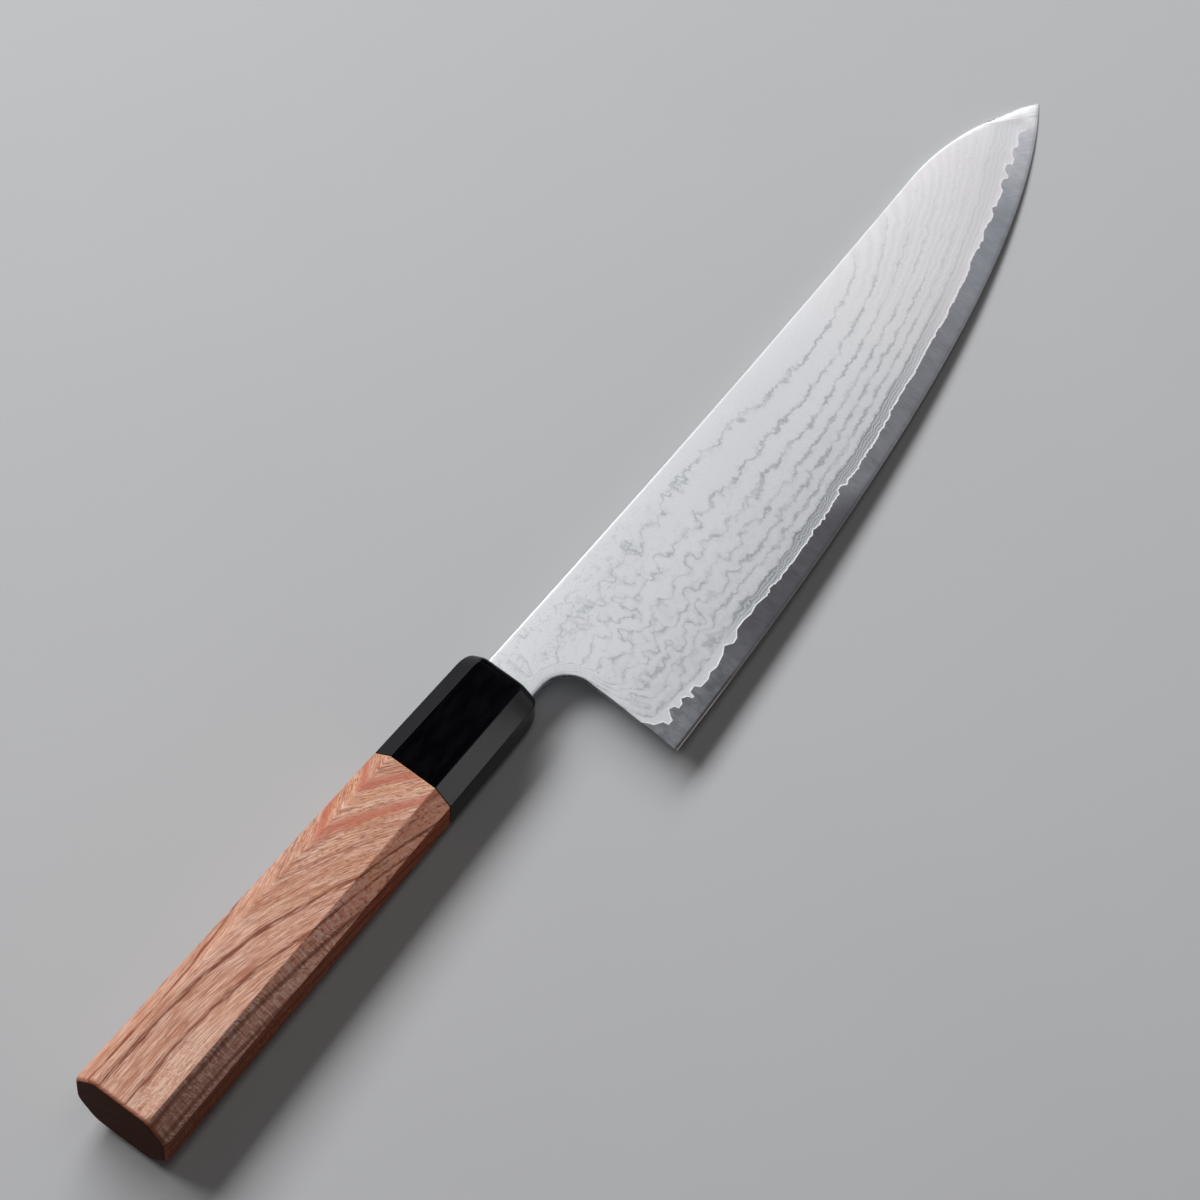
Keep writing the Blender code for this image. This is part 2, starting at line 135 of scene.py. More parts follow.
# Where the cladding's layers come out of the face, counted in layers from the clad line: the first
# line's place, the spacing and how much the spacing grows, at stations along the blade in mm
LAYER = 0.101 * MM
LINE_STATIONS = (10, 40, 60, 80, 100, 130, 150, 166, 184)
STATION_BLEND = 14  # mm over which values pass from one station to the next
BLEND_SAMPLES = 9
FIRST_LINE = (1, 1, 1, 1, 1.05, 1.25, 1.8, 2.6, 3.9)
LINE_SPACING = (1.25, 1.25, 0.88, 0.72, 0.85, 0.95, 1.2, 1.3, 1.4)
SPACING_GROWTH = (0.002, 0.002, 0.06, 0.08, 0.02, 0.002, 0.002, 0.002, 0.002)

# Handle, an octagon that grows: its sizes by the ferrule and at the butt
WIDTHS = (19.1 * MM, 24.3 * MM)
THICKNESSES = (15.2 * MM, 19.8 * MM)
TOP_FLATS = (11.2 * MM, 14.7 * MM)
SIDE_FLATS = (8 * MM, 9 * MM)
FRONT_ROUND_LENGTH = 4.2 * MM
FRONT_ROUND_DEPTH = 1.4 * MM
BUTT_ROUND = 1 * MM
DOWEL_DIAMETER = 12 * MM
DOWEL_PLAY = 0.1 * MM
FERRULE_WALL = 5 * MM
NECK_CLEARANCE = 0.15 * MM
HORN_EDGE = 0.12 * MM  # how far the long edges are eased back from the corner
HORN_FRONT_EDGE = 1.5 * MM
HORN_EDGE_GROWTH = 1.5
WOOD_EDGE = 0.16 * MM
WOOD_BUTT_EDGE = 2.1 * MM
BUTT_SOFT_LENGTH = 0.9 * MM  # over which the long edges soften towards the butt
SOFT_SHARE = 0.5  # how much of that softening comes before the rounded end
RIM_EASE = 0.14 * MM  # the wood's edge at the ferrule
CORNER_REACH = 1.5  # where a flat facet ends, in corner easings from the corner
CORNER_STEPS = 4
END_STEPS = 14
HANDLE_STATION = 2 * MM
BORE_SIDES = 64
CUT_OVERRUN = 1 * MM

# Mesh fineness
EDGE_STEPS = 500
SPINE_STEPS = 200
DROP_STEPS = 300
CHOIL_STEPS = 80
LINE_STEP = 0.14 * MM
OUTLINE_STEP = 0.4 * MM
GRID_STEP = 0.75 * MM
GRID_MARGIN = 0.4 * MM
SPINE_ROWS = (0.03 * MM, 0.09 * MM, 0.25 * MM, 0.45 * MM, 0.7 * MM)  # rows of points beside an edge
DROP_ROWS = (1 * MM, 1.35 * MM, 1.7 * MM, 2.1 * MM)
BACK_ROWS = (0.02 * MM, 0.06 * MM, 0.14 * MM, 0.5 * MM)
LINE_ROWS = (0.15 * MM, 0.34 * MM, 0.6 * MM)
ROW_CHECK_STEP = 0.05 * MM
ROW_CLEARANCE = 0.8  # share of its distance that a row's points keep where the edge bends
SAME_POINT = 1e-8  # m
SMOOTH_ANGLE = math.radians(32)


# Places that the frame gives


def straight_frame():
    """Where the knife's own frame lies: along the butt mount's axis, from the ferrule's face."""
    butt = next(m for m in frame["record"]["mounts"] if m["name"] == "butt_end")
    x_axis = -Vector(butt["axis"]).normalized()
    y_axis = Vector((0, 1, 0))
    start = Vector(butt["pos_m"])
    corners = frame["nodes"]["ferrule"].data.vertices
    length = max((v.co - start).dot(x_axis) for v in corners)
    lies = Matrix((x_axis, y_axis, x_axis.cross(y_axis))).transposed().to_4x4()
    lies.translation = start + x_axis * length
    return lies


KNIFE = straight_frame()


def cad_corners(node):
    """A CAD node's corners in the straight frame."""
    into_knife = KNIFE.inverted()
    return np.array([into_knife @ v.co for v in frame["nodes"][node].data.vertices])


CORE = cad_corners("core_steel")
HEEL = CORE[CORE[:, 1].argmin(), :2]
TIP = CORE[CORE[:, 0].argmax(), :2]
HANDLE_LENGTH = -cad_corners("handle_body")[:, 0].min()
FERRULE_LENGTH = -cad_corners("ferrule")[:, 0].min()
WOOD_FRONT = cad_corners("handle_body")[:, 0].max()
DROP_START = TIP[0] - DROP_LENGTH


# Blade outline


def along(angle, length):
    return np.array((math.cos(angle), math.sin(angle))) * length


def bezier(start, leave, arrive, end, steps):
    """Points of a cubic curve, both ends included."""
    t = np.linspace(0, 1, steps + 1)[:, None]
    u = 1 - t
    return u**3 * start + 3 * u**2 * t * leave + 3 * u * t**2 * arrive + t**3 * end


EDGE = bezier(
    HEEL,
    HEEL + along(EDGE_HEEL_ANGLE, EDGE_HEEL_PULL),
    TIP - along(EDGE_TIP_ANGLE, EDGE_TIP_PULL),
    TIP,
    EDGE_STEPS,
)


def edge_y(x):
    return np.interp(x, EDGE[:, 0], EDGE[:, 1])


def spine_y(x):
    """The slightly sagging spine, held level past where it starts to drop."""
    share = np.minimum(x / DROP_START, 1)
    return SPINE_ABOVE_AXIS + SPINE_RISE * share - 4 * SPINE_SAG * share * (1 - share)


def spine_drop():
    """The spine's last stretch, from where it starts to drop to the tip."""
    start = np.array((DROP_START, spine_y(DROP_START)))
    slope = math.atan2(SPINE_RISE + 4 * SPINE_SAG, DROP_START)
    arrive = TIP - along(-DROP_END_ANGLE, DROP_END_PULL)
    return bezier(start, start + along(slope, DROP_START_PULL), arrive, TIP, DROP_STEPS)


DROP = spine_drop()


def back_x(y):
    """The straight back end's place at a height."""
    return HEEL[0] + (y - HEEL[1]) * math.tan(HEEL_BACK_LEAN)


def choil():
    """The round corner from the neck's lower side to the heel's back."""
    y = SPINE_ABOVE_AXIS - NECK_HEIGHT - CHOIL_RADIUS
    corner = np.array((back_x(y) - CHOIL_RADIUS / math.cos(HEEL_BACK_LEAN), y))
    turns = np.linspace(math.pi / 2, -HEEL_BACK_LEAN, CHOIL_STEPS)
    return corner + CHOIL_RADIUS * np.stack([np.cos(turns), np.sin(turns)], 1)


def resample(points, step):
    """Evenly spaced points along a line of points, both ends included."""
    runs = np.linalg.norm(np.diff(points, axis=0), axis=1)
    gone = np.concatenate([[0], np.cumsum(runs)])
    wanted = np.linspace(0, gone[-1], max(2, round(gone[-1] / step) + 1))
    return np.stack([np.interp(wanted, gone, points[:, i]) for i in (0, 1)], 1)


# The clad line


def tooth(x, place, width, height):
    """A flat-topped bump with steep sides."""
    return height * np.clip(1 - np.abs((x - place) / (width / 2)) ** 3, 0, 1)


def clad_height(x):
    """Height of the clad line above the edge, both in mm."""
    points = np.array(HEEL_LINE + MIDDLE_LINE + TIP_LINE)
    height = np.interp(x, points[:, 0], points[:, 1])
    for sizes in TIP_TEETH:
        height = height + tooth(x, *sizes)
    random = np.random.default_rng(RIPPLE_SEED)
    for count, narrow, wide, high in RIPPLE_SIZES:
        limits = (RIPPLE_SPAN, (narrow, wide), (-high, high))
        for sizes in zip(*[random.uniform(*pair, count) for pair in limits]):
            height = height + tooth(x, *sizes)
    return height


def clad_line():
    """The clad line from the heel's back along the edge, and round to the spine near the tip."""
    x = np.concatenate([np.array([p[0] for p in HEEL_LINE]), np.arange(LINE_FROM, TIP_LINE[-1][0], 0.1)])
    points = np.stack([x * MM, edge_y(x * MM) + clad_height(x) * MM], 1)
    points[0, 0] = back_x(points[0, 1])
    curl = np.array(TIP_CURL) * MM
    end = DROP[np.argmin(np.linalg.norm(DROP - 2 * curl[-1] + curl[-2], axis=1))]
    return resample(np.vstack([points, curl, end]), LINE_STEP)


LINE = clad_line()


def smooth_line_y(x):
    """The clad line's height without its notches."""
    low = LINE[: np.argmax(LINE[:, 0] > TIP_LINE[-1][0] * MM)]
    places = low[::NOTCH_STRIDE, 0]
    heights = [low[np.abs(low[:, 0] - p) < NOTCH_SPAN, 1].mean() for p in places]
    past = edge_y(x) - edge_y(np.minimum(x, places[-1]))
    return np.interp(x, places, heights) + past


# Blade surfaces


def half_spine(x):
    stations = [-TANG_LENGTH, 0, DROP_START, TIP[0]]
    sizes = [TANG_END_THICKNESS, SPINE_AT_FERRULE, SPINE_AT_DROP, SPINE_AT_TIP]
    return np.interp(x, stations, sizes) / 2


def half_blade(x, y):
    """Half the thickness at a place: convex from the edge to the spine, with the edge's own bevel."""
    above = y - edge_y(x)
    share = np.clip(above / (spine_y(x) - edge_y(x)), 0, 1)
    thin = EDGE_THICKNESS / 2
    plain = thin + (half_spine(x) - thin) * (1 - (1 - share) ** GRIND_CURVE)
    bevel = np.clip(above / BEVEL_HEIGHT, 0, 1)
    return plain - (thin - BEVEL_EDGE) * (1 - bevel)


def distances(points, line, step=0.1 * MM):
    """Each point's distance to a line of points."""
    dense = resample(line, step)
    tree = KDTree(len(dense))
    for i, p in enumerate(dense):
        tree.insert((*p, 0), i)
    tree.balance()
    return np.array([tree.find((*p, 0))[2] for p in points])


SPINE_X = np.linspace(-SHOULDER_DEPTH, DROP_START, SPINE_STEPS)
SPINE = np.vstack([np.stack([SPINE_X, spine_y(SPINE_X)], 1), DROP[1:]])
NECK_BOTTOM = np.array([[-SHOULDER_DEPTH, SPINE_ABOVE_AXIS - NECK_HEIGHT], choil()[0]])
BACK = np.vstack([NECK_BOTTOM[:1], choil(), HEEL[None]])


def eased(distance, width, depth):
    """How far a surface drops at a distance from an edge that is eased over a width."""
    return depth * np.clip(1 - distance / width, 0, 1) ** 2


class Places:
    """Points of a blade face with the distances that its shape and pattern depend on."""

    def __init__(self, points):
        self.x, self.y = points[:, 0], points[:, 1]
        self.from_spine = distances(points, SPINE)
        self.from_back = distances(points, BACK)
        self.from_line = distances(points, LINE, LINE_STEP / 2)
        self.above_edge = self.y - edge_y(self.x)

    def face(self):
        """Half thickness of the finished blade, with its eased corners."""
        solid = half_blade(self.x, self.y)
        width, depth, sharp = (
            np.interp(self.x / MM, EASE_STATIONS, sizes) * MM
            for sizes in (SOFT_WIDTHS, SOFT_DEPTHS, SHARP_DEPTHS)
        )
        drop = eased(self.from_spine, width, depth) + eased(self.from_spine, SHARP_WIDTH, sharp)
        drop += eased(self.from_back, BACK_FALL_WIDTH, BACK_FALL)
        drop += eased(self.from_back, BACK_EASE, BACK_EASE)
        return np.maximum(solid - np.minimum(drop, MOST_EASED * solid), BEVEL_EDGE)

    def core(self, covered):
        """Half thickness of the core: the blade's face where bare, thinner where covered."""
        hidden = half_blade(self.x, edge_y(self.x) + LOWEST_CLAD_LINE)
        sunk = self.face() - CORE_SINK * self.from_line
        return np.where(covered, np.minimum(np.maximum(sunk, hidden), self.face()), self.face())


def above_line(points):
    """Whether points lie on the clad side of the clad line."""
    outline = np.vstack([LINE, SPINE[::-1], [[-SHOULDER_DEPTH, NECK_BOTTOM[0, 1]]], choil()])
    return inside(points, outline) | (distances(points, LINE, LINE_STEP / 2) < LINE_TOLERANCE)


def inside(points, outline):
    """Whether points lie within a closed outline, by counting the sides to their right."""
    x, y = points[:, 0], points[:, 1]
    found = np.zeros(len(points), bool)
    for a, b in zip(outline, np.roll(outline, -1, axis=0)):
        crossed = (a[1] > y) != (b[1] > y)
        if crossed.any():
            at = a[0] + (y - a[1]) / (b[1] - a[1]) * (b[0] - a[0])
            found ^= crossed & (x < at)
    return found


# Meshes


def placed(name, data):
    """A new object in the scene."""
    made = bpy.data.objects.new(name, data)
    bpy.context.scene.collection.objects.link(made)
    return made


def piece(name, verts, faces, node, material, attributes=None):
    """A mesh that stands for a CAD node and moves with the knife."""
    mesh = bpy.data.meshes.new(name)
    mesh.from_pydata([tuple(v) for v in verts], [], faces)
    mesh.transform(KNIFE)
    mesh.update()
    for key, values in (attributes or {}).items():
        stored = mesh.attributes.new(key, "FLOAT", "POINT")
        stored.data.foreach_set("value", np.asarray(values, np.float32))
    mesh.materials.append(material)
    mesh.shade_smooth()
    mesh.set_sharp_from_angle(angle=SMOOTH_ANGLE)
    made = placed(name, mesh)
    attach(made, "root")
    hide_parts(node)
    return made


def rows_beside(line, side, offsets, spacing):
    """Rows of points to a line's left (side 1) or right (side -1), each with the line and its distance."""
    points = resample(line, spacing)
    run = np.gradient(points, axis=0)
    normal = np.stack([-run[:, 1], run[:, 0]], 1) / np.linalg.norm(run, axis=1)[:, None]
    return [(points + side * distance * normal, line, distance) for distance in offsets]


def eased_rows():
    """Rows of points along the eased edges of spine and back."""
    rows = []
    for line, side, offsets in ((SPINE, -1, SPINE_ROWS), (DROP, -1, DROP_ROWS), (BACK, 1, BACK_ROWS)):
        rows += rows_beside(line, side, offsets, OUTLINE_STEP)
    return rows


def face_points(outline, rows):
    """Points that fill an outline: rows beside its edges, and a plain grid clear of them."""
    steps = [np.arange(low, high, GRID_STEP) for low, high in zip(outline.min(0), outline.max(0))]
    grid = np.stack(np.meshgrid(*steps), -1).reshape(-1, 2)
    grid[:, 0] += np.where(np.round(grid[:, 1] / GRID_STEP) % 2 == 0, 0, GRID_STEP / 2)
    grid = grid[inside(grid, outline)]
    last_rows = {id(line): (line, distance) for _, line, distance in rows}
    for line, distance in last_rows.values():
        grid = grid[distances(grid, line) > distance + GRID_MARGIN / 2]
    kept = []
    for points, line, distance in rows:
        points = points[inside(points, outline)]
        gap = distances(points, line, ROW_CHECK_STEP)
        kept.append(points[gap > ROW_CLEARANCE * distance])
    return np.vstack([grid] + kept)


def layer_count(x, y):
    """Which layer comes out of the face at a place, so that a dark line is a whole number."""
    base = smooth_line_y(x)
    share = np.clip((y - base) / (spine_y(x) - base), -0.1, 1)
    depth = (half_spine(x) - EDGE_THICKNESS / 2) * (1 - (1 - share) ** GRIND_CURVE) / LAYER
    places = [x / MM + shift for shift in np.linspace(-STATION_BLEND, STATION_BLEND, BLEND_SAMPLES)]
    first, spacing, growth = (
        np.mean([np.interp(place, LINE_STATIONS, values) for place in places], axis=0)
        for values in (FIRST_LINE, LINE_SPACING, SPACING_GROWTH)
    )
    past = np.maximum(spacing**2 + 4 * growth * (depth - first), 0)
    return 1 + (np.sqrt(past) - spacing) / (2 * growth)


def shader_values(places):
    """Values for the steel's shaders, in mm, except the layers' count and density."""
    higher, lower = (layer_count(places.x, places.y + shift) for shift in (MM / 2, -MM / 2))
    values = {"layer": layer_count(places.x, places.y), "layers_per_mm": higher - lower}
    for key in ("from_line", "from_back", "from_spine", "above_edge"):
        values[key] = getattr(places, key) / MM
    return values


def blade_plate(name, outline, crease, fill, heights, node, material):
    """A closed plate over an outline, between the two heights that a function gives for its Places."""
    points = np.vstack([outline, crease, fill])
    start = len(outline)
    edges = [(i, (i + 1) % start) for i in range(start)]
    edges += [(start + i, start + i + 1) for i in range(len(crease) - 1)]
    flat, _, faces, _, _, _ = delaunay_2d_cdt([Vector(p) for p in points], edges, [], 1, SAME_POINT)
    flat = np.array(flat)
    places = Places(flat)
    verts = np.vstack([np.column_stack([flat, height]) for height in heights(places)])
    count = len(flat)
    sides = set()
    all_faces = []
    for face in faces:
        all_faces.append(tuple(face))
        all_faces.append(tuple(i + count for i in reversed(face)))
        sides.update(zip(face, face[1:] + face[:1]))
    for a, b in sides:
        if (b, a) not in sides:
            all_faces.append((b, a, a + count, b + count))
    values = {key: np.tile(value, 2) for key, value in shader_values(places).items()}
    return piece(name, verts, all_faces, node, material, values)


def plate_outline(*stretches):
    """A closed outline: round the tang and the choil, then given stretches, and back along the spine."""
    return np.vstack([
        [(-TANG_LENGTH, -TANG_END_HEIGHT / 2), (-SHOULDER_DEPTH, -TANG_HEIGHT / 2)],
        NECK_BOTTOM[:1],
        resample(choil(), OUTLINE_STEP),
        *stretches,
        resample(SPINE[SPINE[:, 0] <= DROP_START][::-1], OUTLINE_STEP),
        [(-SHOULDER_DEPTH, TANG_HEIGHT / 2), (-TANG_LENGTH, TANG_END_HEIGHT / 2)],
    ])


def cladding(name, node, side, material):
    """One outer layer, from the wavy clad line to the spine, with its part of the tang."""
    outline = plate_outline(
        resample(np.array([choil()[-1], LINE[0]]), OUTLINE_STEP)[1:-1],
        LINE[:-1],
        resample(DROP[DROP[:, 0] <= LINE[-1, 0]][::-1], OUTLINE_STEP)[:-1],
    )
    fill = face_points(outline, eased_rows() + rows_beside(LINE, 1, LINE_ROWS, 2 * LINE_STEP))

    def heights(places):
        inner = places.core(True) + WELD_LINE
        lip = CLADDING_LIP * np.clip(1 - places.from_line / LIP_WIDTH, 0, 1)
        lip = lip * np.clip(places.from_spine / LIP_END, 0, 1)
        outer = np.maximum(places.face() + lip, inner + CLADDING_LIP / 2)
        return (outer, inner) if side > 0 else (-inner, -outer)

    return blade_plate(name, outline, LINE[:0], fill, heights, node, material)


def core(name, node, material):
    """The core layer: bare along the edge and at the tip, thinner under the cladding, and the tang."""
    outline = plate_outline(
        resample(np.array([choil()[-1], HEEL]), OUTLINE_STEP)[1:-1],
        resample(EDGE, OUTLINE_STEP)[:-1],
        resample(DROP[::-1], OUTLINE_STEP)[:-1],
    )
    rows = eased_rows()
    for distance in LINE_ROWS:
        for side in (-1, 1):
            rows += rows_beside(LINE, side, [distance], 2 * LINE_STEP)
    rows += rows_beside(EDGE, 1, [BEVEL_HEIGHT], OUTLINE_STEP)

    def heights(places):
        half = places.core(above_line(np.stack([places.x, places.y], 1)))
        return half, -half

    fill = face_points(outline, rows)
    return blade_plate(name, outline, LINE[1:-1], fill, heights, node, material)


# Handle meshes


def octagon(x, inset, cut):
    """The handle's section at x, drawn in by an inset, with corners rounded from a distance."""
    share = -x / HANDLE_LENGTH
    corner_inset = 2 * inset * math.tan(math.pi / 8)
    insets = (2 * inset, 2 * inset, corner_inset, corner_inset)
    width, thickness, top_flat, side_flat = (
        front + share * (butt - front) - taken
        for (front, butt), taken in zip((WIDTHS, THICKNESSES, TOP_FLATS, SIDE_FLATS), insets)
    )
    quarter = [(width / 2, side_flat / 2), (top_flat / 2, thickness / 2)]
    half = quarter + [(-y, z) for y, z in reversed(quarter)]
    corners = [Vector(p) for p in half + [(-y, -z) for y, z in half]]
    ring = []
    for i, corner in enumerate(corners):
        before = (corners[i - 1] - corner).normalized()
        after = (corners[(i + 1) % 8] - corner).normalized()
        ring.append(corner + before * cut * CORNER_REACH)
        for k in range(CORNER_STEPS + 1):
            t = k / CORNER_STEPS
            ring.append(corner + before * cut * (1 - t) ** 2 + after * cut * t**2)
        ring.append(corner + after * cut * CORNER_REACH)
    return [(x, p.x, p.y) for p in ring]


def loft(name, rings, node, material):
    """A closed solid through rings that run towards -X."""
    count = len(rings[0])
    verts = [p for ring in rings for p in ring]
    faces = [tuple(range(count)), tuple(reversed(range(len(verts) - count, len(verts))))]
    for r in range(len(rings) - 1):
        for i in range(count):
            j = (i + 1) % count
            faces.append((r * count + j, r * count + i, (r + 1) * count + i, (r + 1) * count + j))
    return piece(name, verts, faces, node, material)


def cutter_box(low, high):
    """A box's corners and faces."""
    verts = [(x, y, z) for x in (low[0], high[0]) for y in (low[1], high[1]) for z in (low[2], high[2])]
    faces = [(0, 1, 3, 2), (4, 6, 7, 5), (0, 4, 5, 1), (2, 3, 7, 6), (0, 2, 6, 4), (1, 5, 7, 3)]
    return verts, faces


def cutter_rod(front, back):
    """A round bar on the handle's axis, as wide as the dowel's bore."""
    n = BORE_SIDES
    turns = [2 * math.pi * i / n for i in range(n)]
    radius = (DOWEL_DIAMETER + 2 * DOWEL_PLAY) / 2
    verts = [(x, radius * math.cos(t), radius * math.sin(t)) for x in (front, back) for t in turns]
    faces = [tuple(range(n)), tuple(reversed(range(n, 2 * n)))]
    faces += [((i + 1) % n, i, i + n, (i + 1) % n + n) for i in range(n)]
    return verts, faces


def cut_out(made, verts, faces):
    """Cut a shape out of a piece for good."""
    mesh = bpy.data.meshes.new("cutter")
    mesh.from_pydata(verts, [], faces)
    mesh.transform(KNIFE)
    tool = placed("cutter", mesh)
    boolean = made.modifiers.new("cut", "BOOLEAN")
    boolean.operation = "DIFFERENCE"
    boolean.object = tool
    bpy.context.view_layer.update()
    evaluated = made.evaluated_get(bpy.context.evaluated_depsgraph_get())
    made.data = bpy.data.meshes.new_from_object(evaluated)
    made.modifiers.clear()
    made.data.set_sharp_from_angle(angle=SMOOTH_ANGLE)
    bpy.data.objects.remove(tool)


QUARTER_TURNS = [math.pi / 2 * i / END_STEPS for i in range(END_STEPS + 1)]


def ferrule(material):
    """The polished horn front of the handle."""
    rings = []
    for turn in reversed(QUARTER_TURNS):
        gone = 1 - math.cos(turn)
        edge = HORN_EDGE + gone**HORN_EDGE_GROWTH * (HORN_FRONT_EDGE - HORN_EDGE)
        rings.append(octagon(FRONT_ROUND_LENGTH * (math.sin(turn) - 1), FRONT_ROUND_DEPTH * gone, edge))
    stations = np.arange(-FRONT_ROUND_LENGTH - HANDLE_STATION, -FERRULE_LENGTH, -HANDLE_STATION)
    rings += [octagon(x, 0, HORN_EDGE) for x in stations]
    rings.append(octagon(-FERRULE_LENGTH + RIM_EASE / 2, 0, HORN_EDGE))
    rings.append(octagon(-FERRULE_LENGTH, RIM_EASE / 2, HORN_EDGE))
    made = loft("ferrule_horn", rings, "ferrule", material)
    cut_out(made, *cutter_rod(-FERRULE_WALL, -FERRULE_LENGTH - CUT_OVERRUN))
    half_slot = half_spine(0) + NECK_CLEARANCE
    low = (-FERRULE_WALL - CUT_OVERRUN, NECK_BOTTOM[0, 1] - NECK_CLEARANCE, -half_slot)
    cut_out(made, *cutter_box(low, (CUT_OVERRUN, SPINE_ABOVE_AXIS + NECK_CLEARANCE, half_slot)))
    return made


def grip(material):
    """The wooden grip, whose long edges soften into a rounded butt."""
    rings = [octagon(WOOD_FRONT, RIM_EASE, WOOD_EDGE)]
    rings.append(octagon(WOOD_FRONT - RIM_EASE, 0, WOOD_EDGE))
    butt = -HANDLE_LENGTH
    soft = butt + BUTT_ROUND + BUTT_SOFT_LENGTH
    rings += [octagon(x, 0, WOOD_EDGE) for x in np.arange(rings[-1][0][0] - MM, soft, -HANDLE_STATION)]
    for i in range(END_STEPS):
        gone = i / END_STEPS
        edge = WOOD_EDGE + SOFT_SHARE * gone**2 * (WOOD_BUTT_EDGE - WOOD_EDGE)
        rings.append(octagon(soft - gone * BUTT_SOFT_LENGTH, 0, edge))
    for turn in QUARTER_TURNS:
        x = butt + BUTT_ROUND * (1 - math.sin(turn))
        gone = 1 - math.cos(turn)
        edge = WOOD_EDGE + (SOFT_SHARE + (1 - SOFT_SHARE) * gone) * (WOOD_BUTT_EDGE - WOOD_EDGE)
        rings.append(octagon(x, BUTT_ROUND * gone, edge))
    made = loft("wooden_grip", rings, "handle_body", material)
    cut_out(made, *cutter_rod(CUT_OVERRUN, cad_corners("dowel")[:, 0].min() - CUT_OVERRUN))
    return made


# Materials


def tone(*shown):
    """A colour given as it shows on a screen, 0 to 255, as linear light."""
    shares = [c / 255 for c in shown]
    return (*(c / 12.92 if c <= 0.04045 else ((c + 0.055) / 1.055) ** 2.4 for c in shares), 1)


class Tree:
    """Short calls that build a material's or a world's nodes, and the colour laid on so far."""

    def __init__(self, name, colour=None, kind="materials"):
        self.owner = getattr(bpy.data, kind).new(name)
        self.owner.use_nodes = True
        self.nodes = self.owner.node_tree.nodes
        self.links = self.owner.node_tree.links
        self.colour = colour

    def set(self, socket, value):
        if isinstance(value, bpy.types.NodeSocket):
            self.links.new(value, socket)
        else:
            socket.default_value = value

    def node(self, kind, inputs=None, **settings):
        made = self.nodes.new("ShaderNode" + kind)
        for key, value in settings.items():
            setattr(made, key, value)
        for key, value in (inputs or {}).items():
            self.set(made.inputs[key], value)
        return made

    def finish(self, **values):
        """Set the shader's sockets, by names with spaces for underscores."""
        values.setdefault("Base_Color", self.colour)
        for key, value in values.items():
            self.set(self.nodes["Principled BSDF"].inputs[key.replace("_", " ")], value)
        return self.owner

    def maths(self, operation, a, b=0, c=0):
        return self.node("Math", {0: a, 1: b, 2: c}, operation=operation).outputs[0]

    def times(self, first, *others):
        """The product of all the values."""
        for other in others:
            first = self.maths("MULTIPLY", first, other)
        return first

    def sum(self, factor, value, added):
        """A factor times a value, plus what is added."""
        return self.maths("MULTIPLY_ADD", value, factor, added)

    def minus(self, a, b):
        return self.maths("SUBTRACT", a, b)

    def most(self, a, b):
        return self.maths("MAXIMUM", a, b)

    def off(self, a, b):
        """How far apart two values are."""
        return self.maths("ABSOLUTE", self.minus(a, b))

    def value(self, name):
        return self.node("Attribute", attribute_name=name).outputs["Fac"]

    def place(self, scale=(1, 1, 1)):
        """Places in the straight frame in mm, stretched."""
        start = self.node("TexCoord").outputs["Object"]
        turned = self.node("Mapping", {"Vector": start}, vector_type="TEXTURE")
        turned.inputs["Location"].default_value = KNIFE.translation
        turned.inputs["Rotation"].default_value = KNIFE.to_euler()
        return self.scaled(turned.outputs[0], tuple(s / MM for s in scale))

    def scaled(self, vector, scale):
        return self.node("VectorMath", {0: vector, 1: scale}, operation="MULTIPLY").outputs[0]

    def split(self, vector):
        return self.node("SeparateXYZ", {0: vector}).outputs

    def joined(self, x, y, z):
        return self.node("CombineXYZ", {0: x, 1: y, 2: z}).outputs[0]

    def noise(self, vector, scale, detail=2, roughness=0.5):
        inputs = {"Vector": vector, "Scale": scale, "Detail": detail, "Roughness": roughness}
        return self.node("TexNoise", inputs).outputs["Fac"]

    def cloud(self, per_mm, detail=2, roughness=0.5):
        """Noise of some size along each of the knife's axes."""
        return self.noise(self.place(per_mm), 1, detail, roughness)

    def ramp(self, value, low, high, start=0, end=1):
        """A smooth step of a value between two limits, from a start to an end."""
        inputs = {0: value, 1: low, 2: high, 3: start, 4: end}
        return self.node("MapRange", inputs, interpolation_type="SMOOTHSTEP").outputs[0]

    def mix(self, factor, a, b, blend="MIX"):
        made = self.node("Mix", data_type="RGBA", blend_type=blend)
        for socket, value in zip((0, 6, 7), (factor, a, b)):
            self.set(made.inputs[socket], value)
        return made.outputs[2]

    def lay(self, factor, tint, blend="MIX"):
        """Lay a tint over the colour so far, as strongly as the factor says."""
        self.colour = self.mix(factor, self.colour, tint, blend)

    def shade(self, factor):
        """Make the colour so far lighter or darker."""
        self.lay(1, factor, "MULTIPLY")

    def bump(self, height, strength, distance):
        inputs = {"Height": height, "Strength": strength, "Distance": distance}
        return self.node("Bump", inputs).outputs[0]

    def seen_directly(self):
        """1 for rays from the camera and for mirrored or refracted views, 0 for the light that spreads."""
        path = self.node("LightPath").outputs
        straight = self.most(path["Is Camera Ray"], path["Is Glossy Ray"])
        return self.most(straight, path["Is Transmission Ray"])


# In the materials, x is the place along the knife in mm, and a ramp's first two numbers are its limits

FACE_TONE = tone(211, 214, 219)  # by the heel
# Lighter face tones towards the tip: partly the steel's own paler tone, partly painted highlight where the
# key light's reflection grows
FACE_TIPWARD_TONE_AND_HIGHLIGHT = tone(231, 230, 234)
FACE_TIP_TONE_AND_HIGHLIGHT = tone(238, 240, 244)  # by the tip
CLOUD_TONE = tone(205, 208, 212)
LINE_TONE = tone(158, 164, 169)
STRIP_TONE = tone(146, 151, 157)  # the close layers beside the clad line
BRIGHT_TONE = tone(250, 250, 251)  # the clad line itself
TIP_BRIGHT_TONE = tone(248, 238, 240)
LEAST_DENSITY = 0.05  # layers per mm
FINE_BUMP = 0.02 * MM
HORN_BUMP = 0.05 * MM
WOOD_BUMP = 0.06 * MM


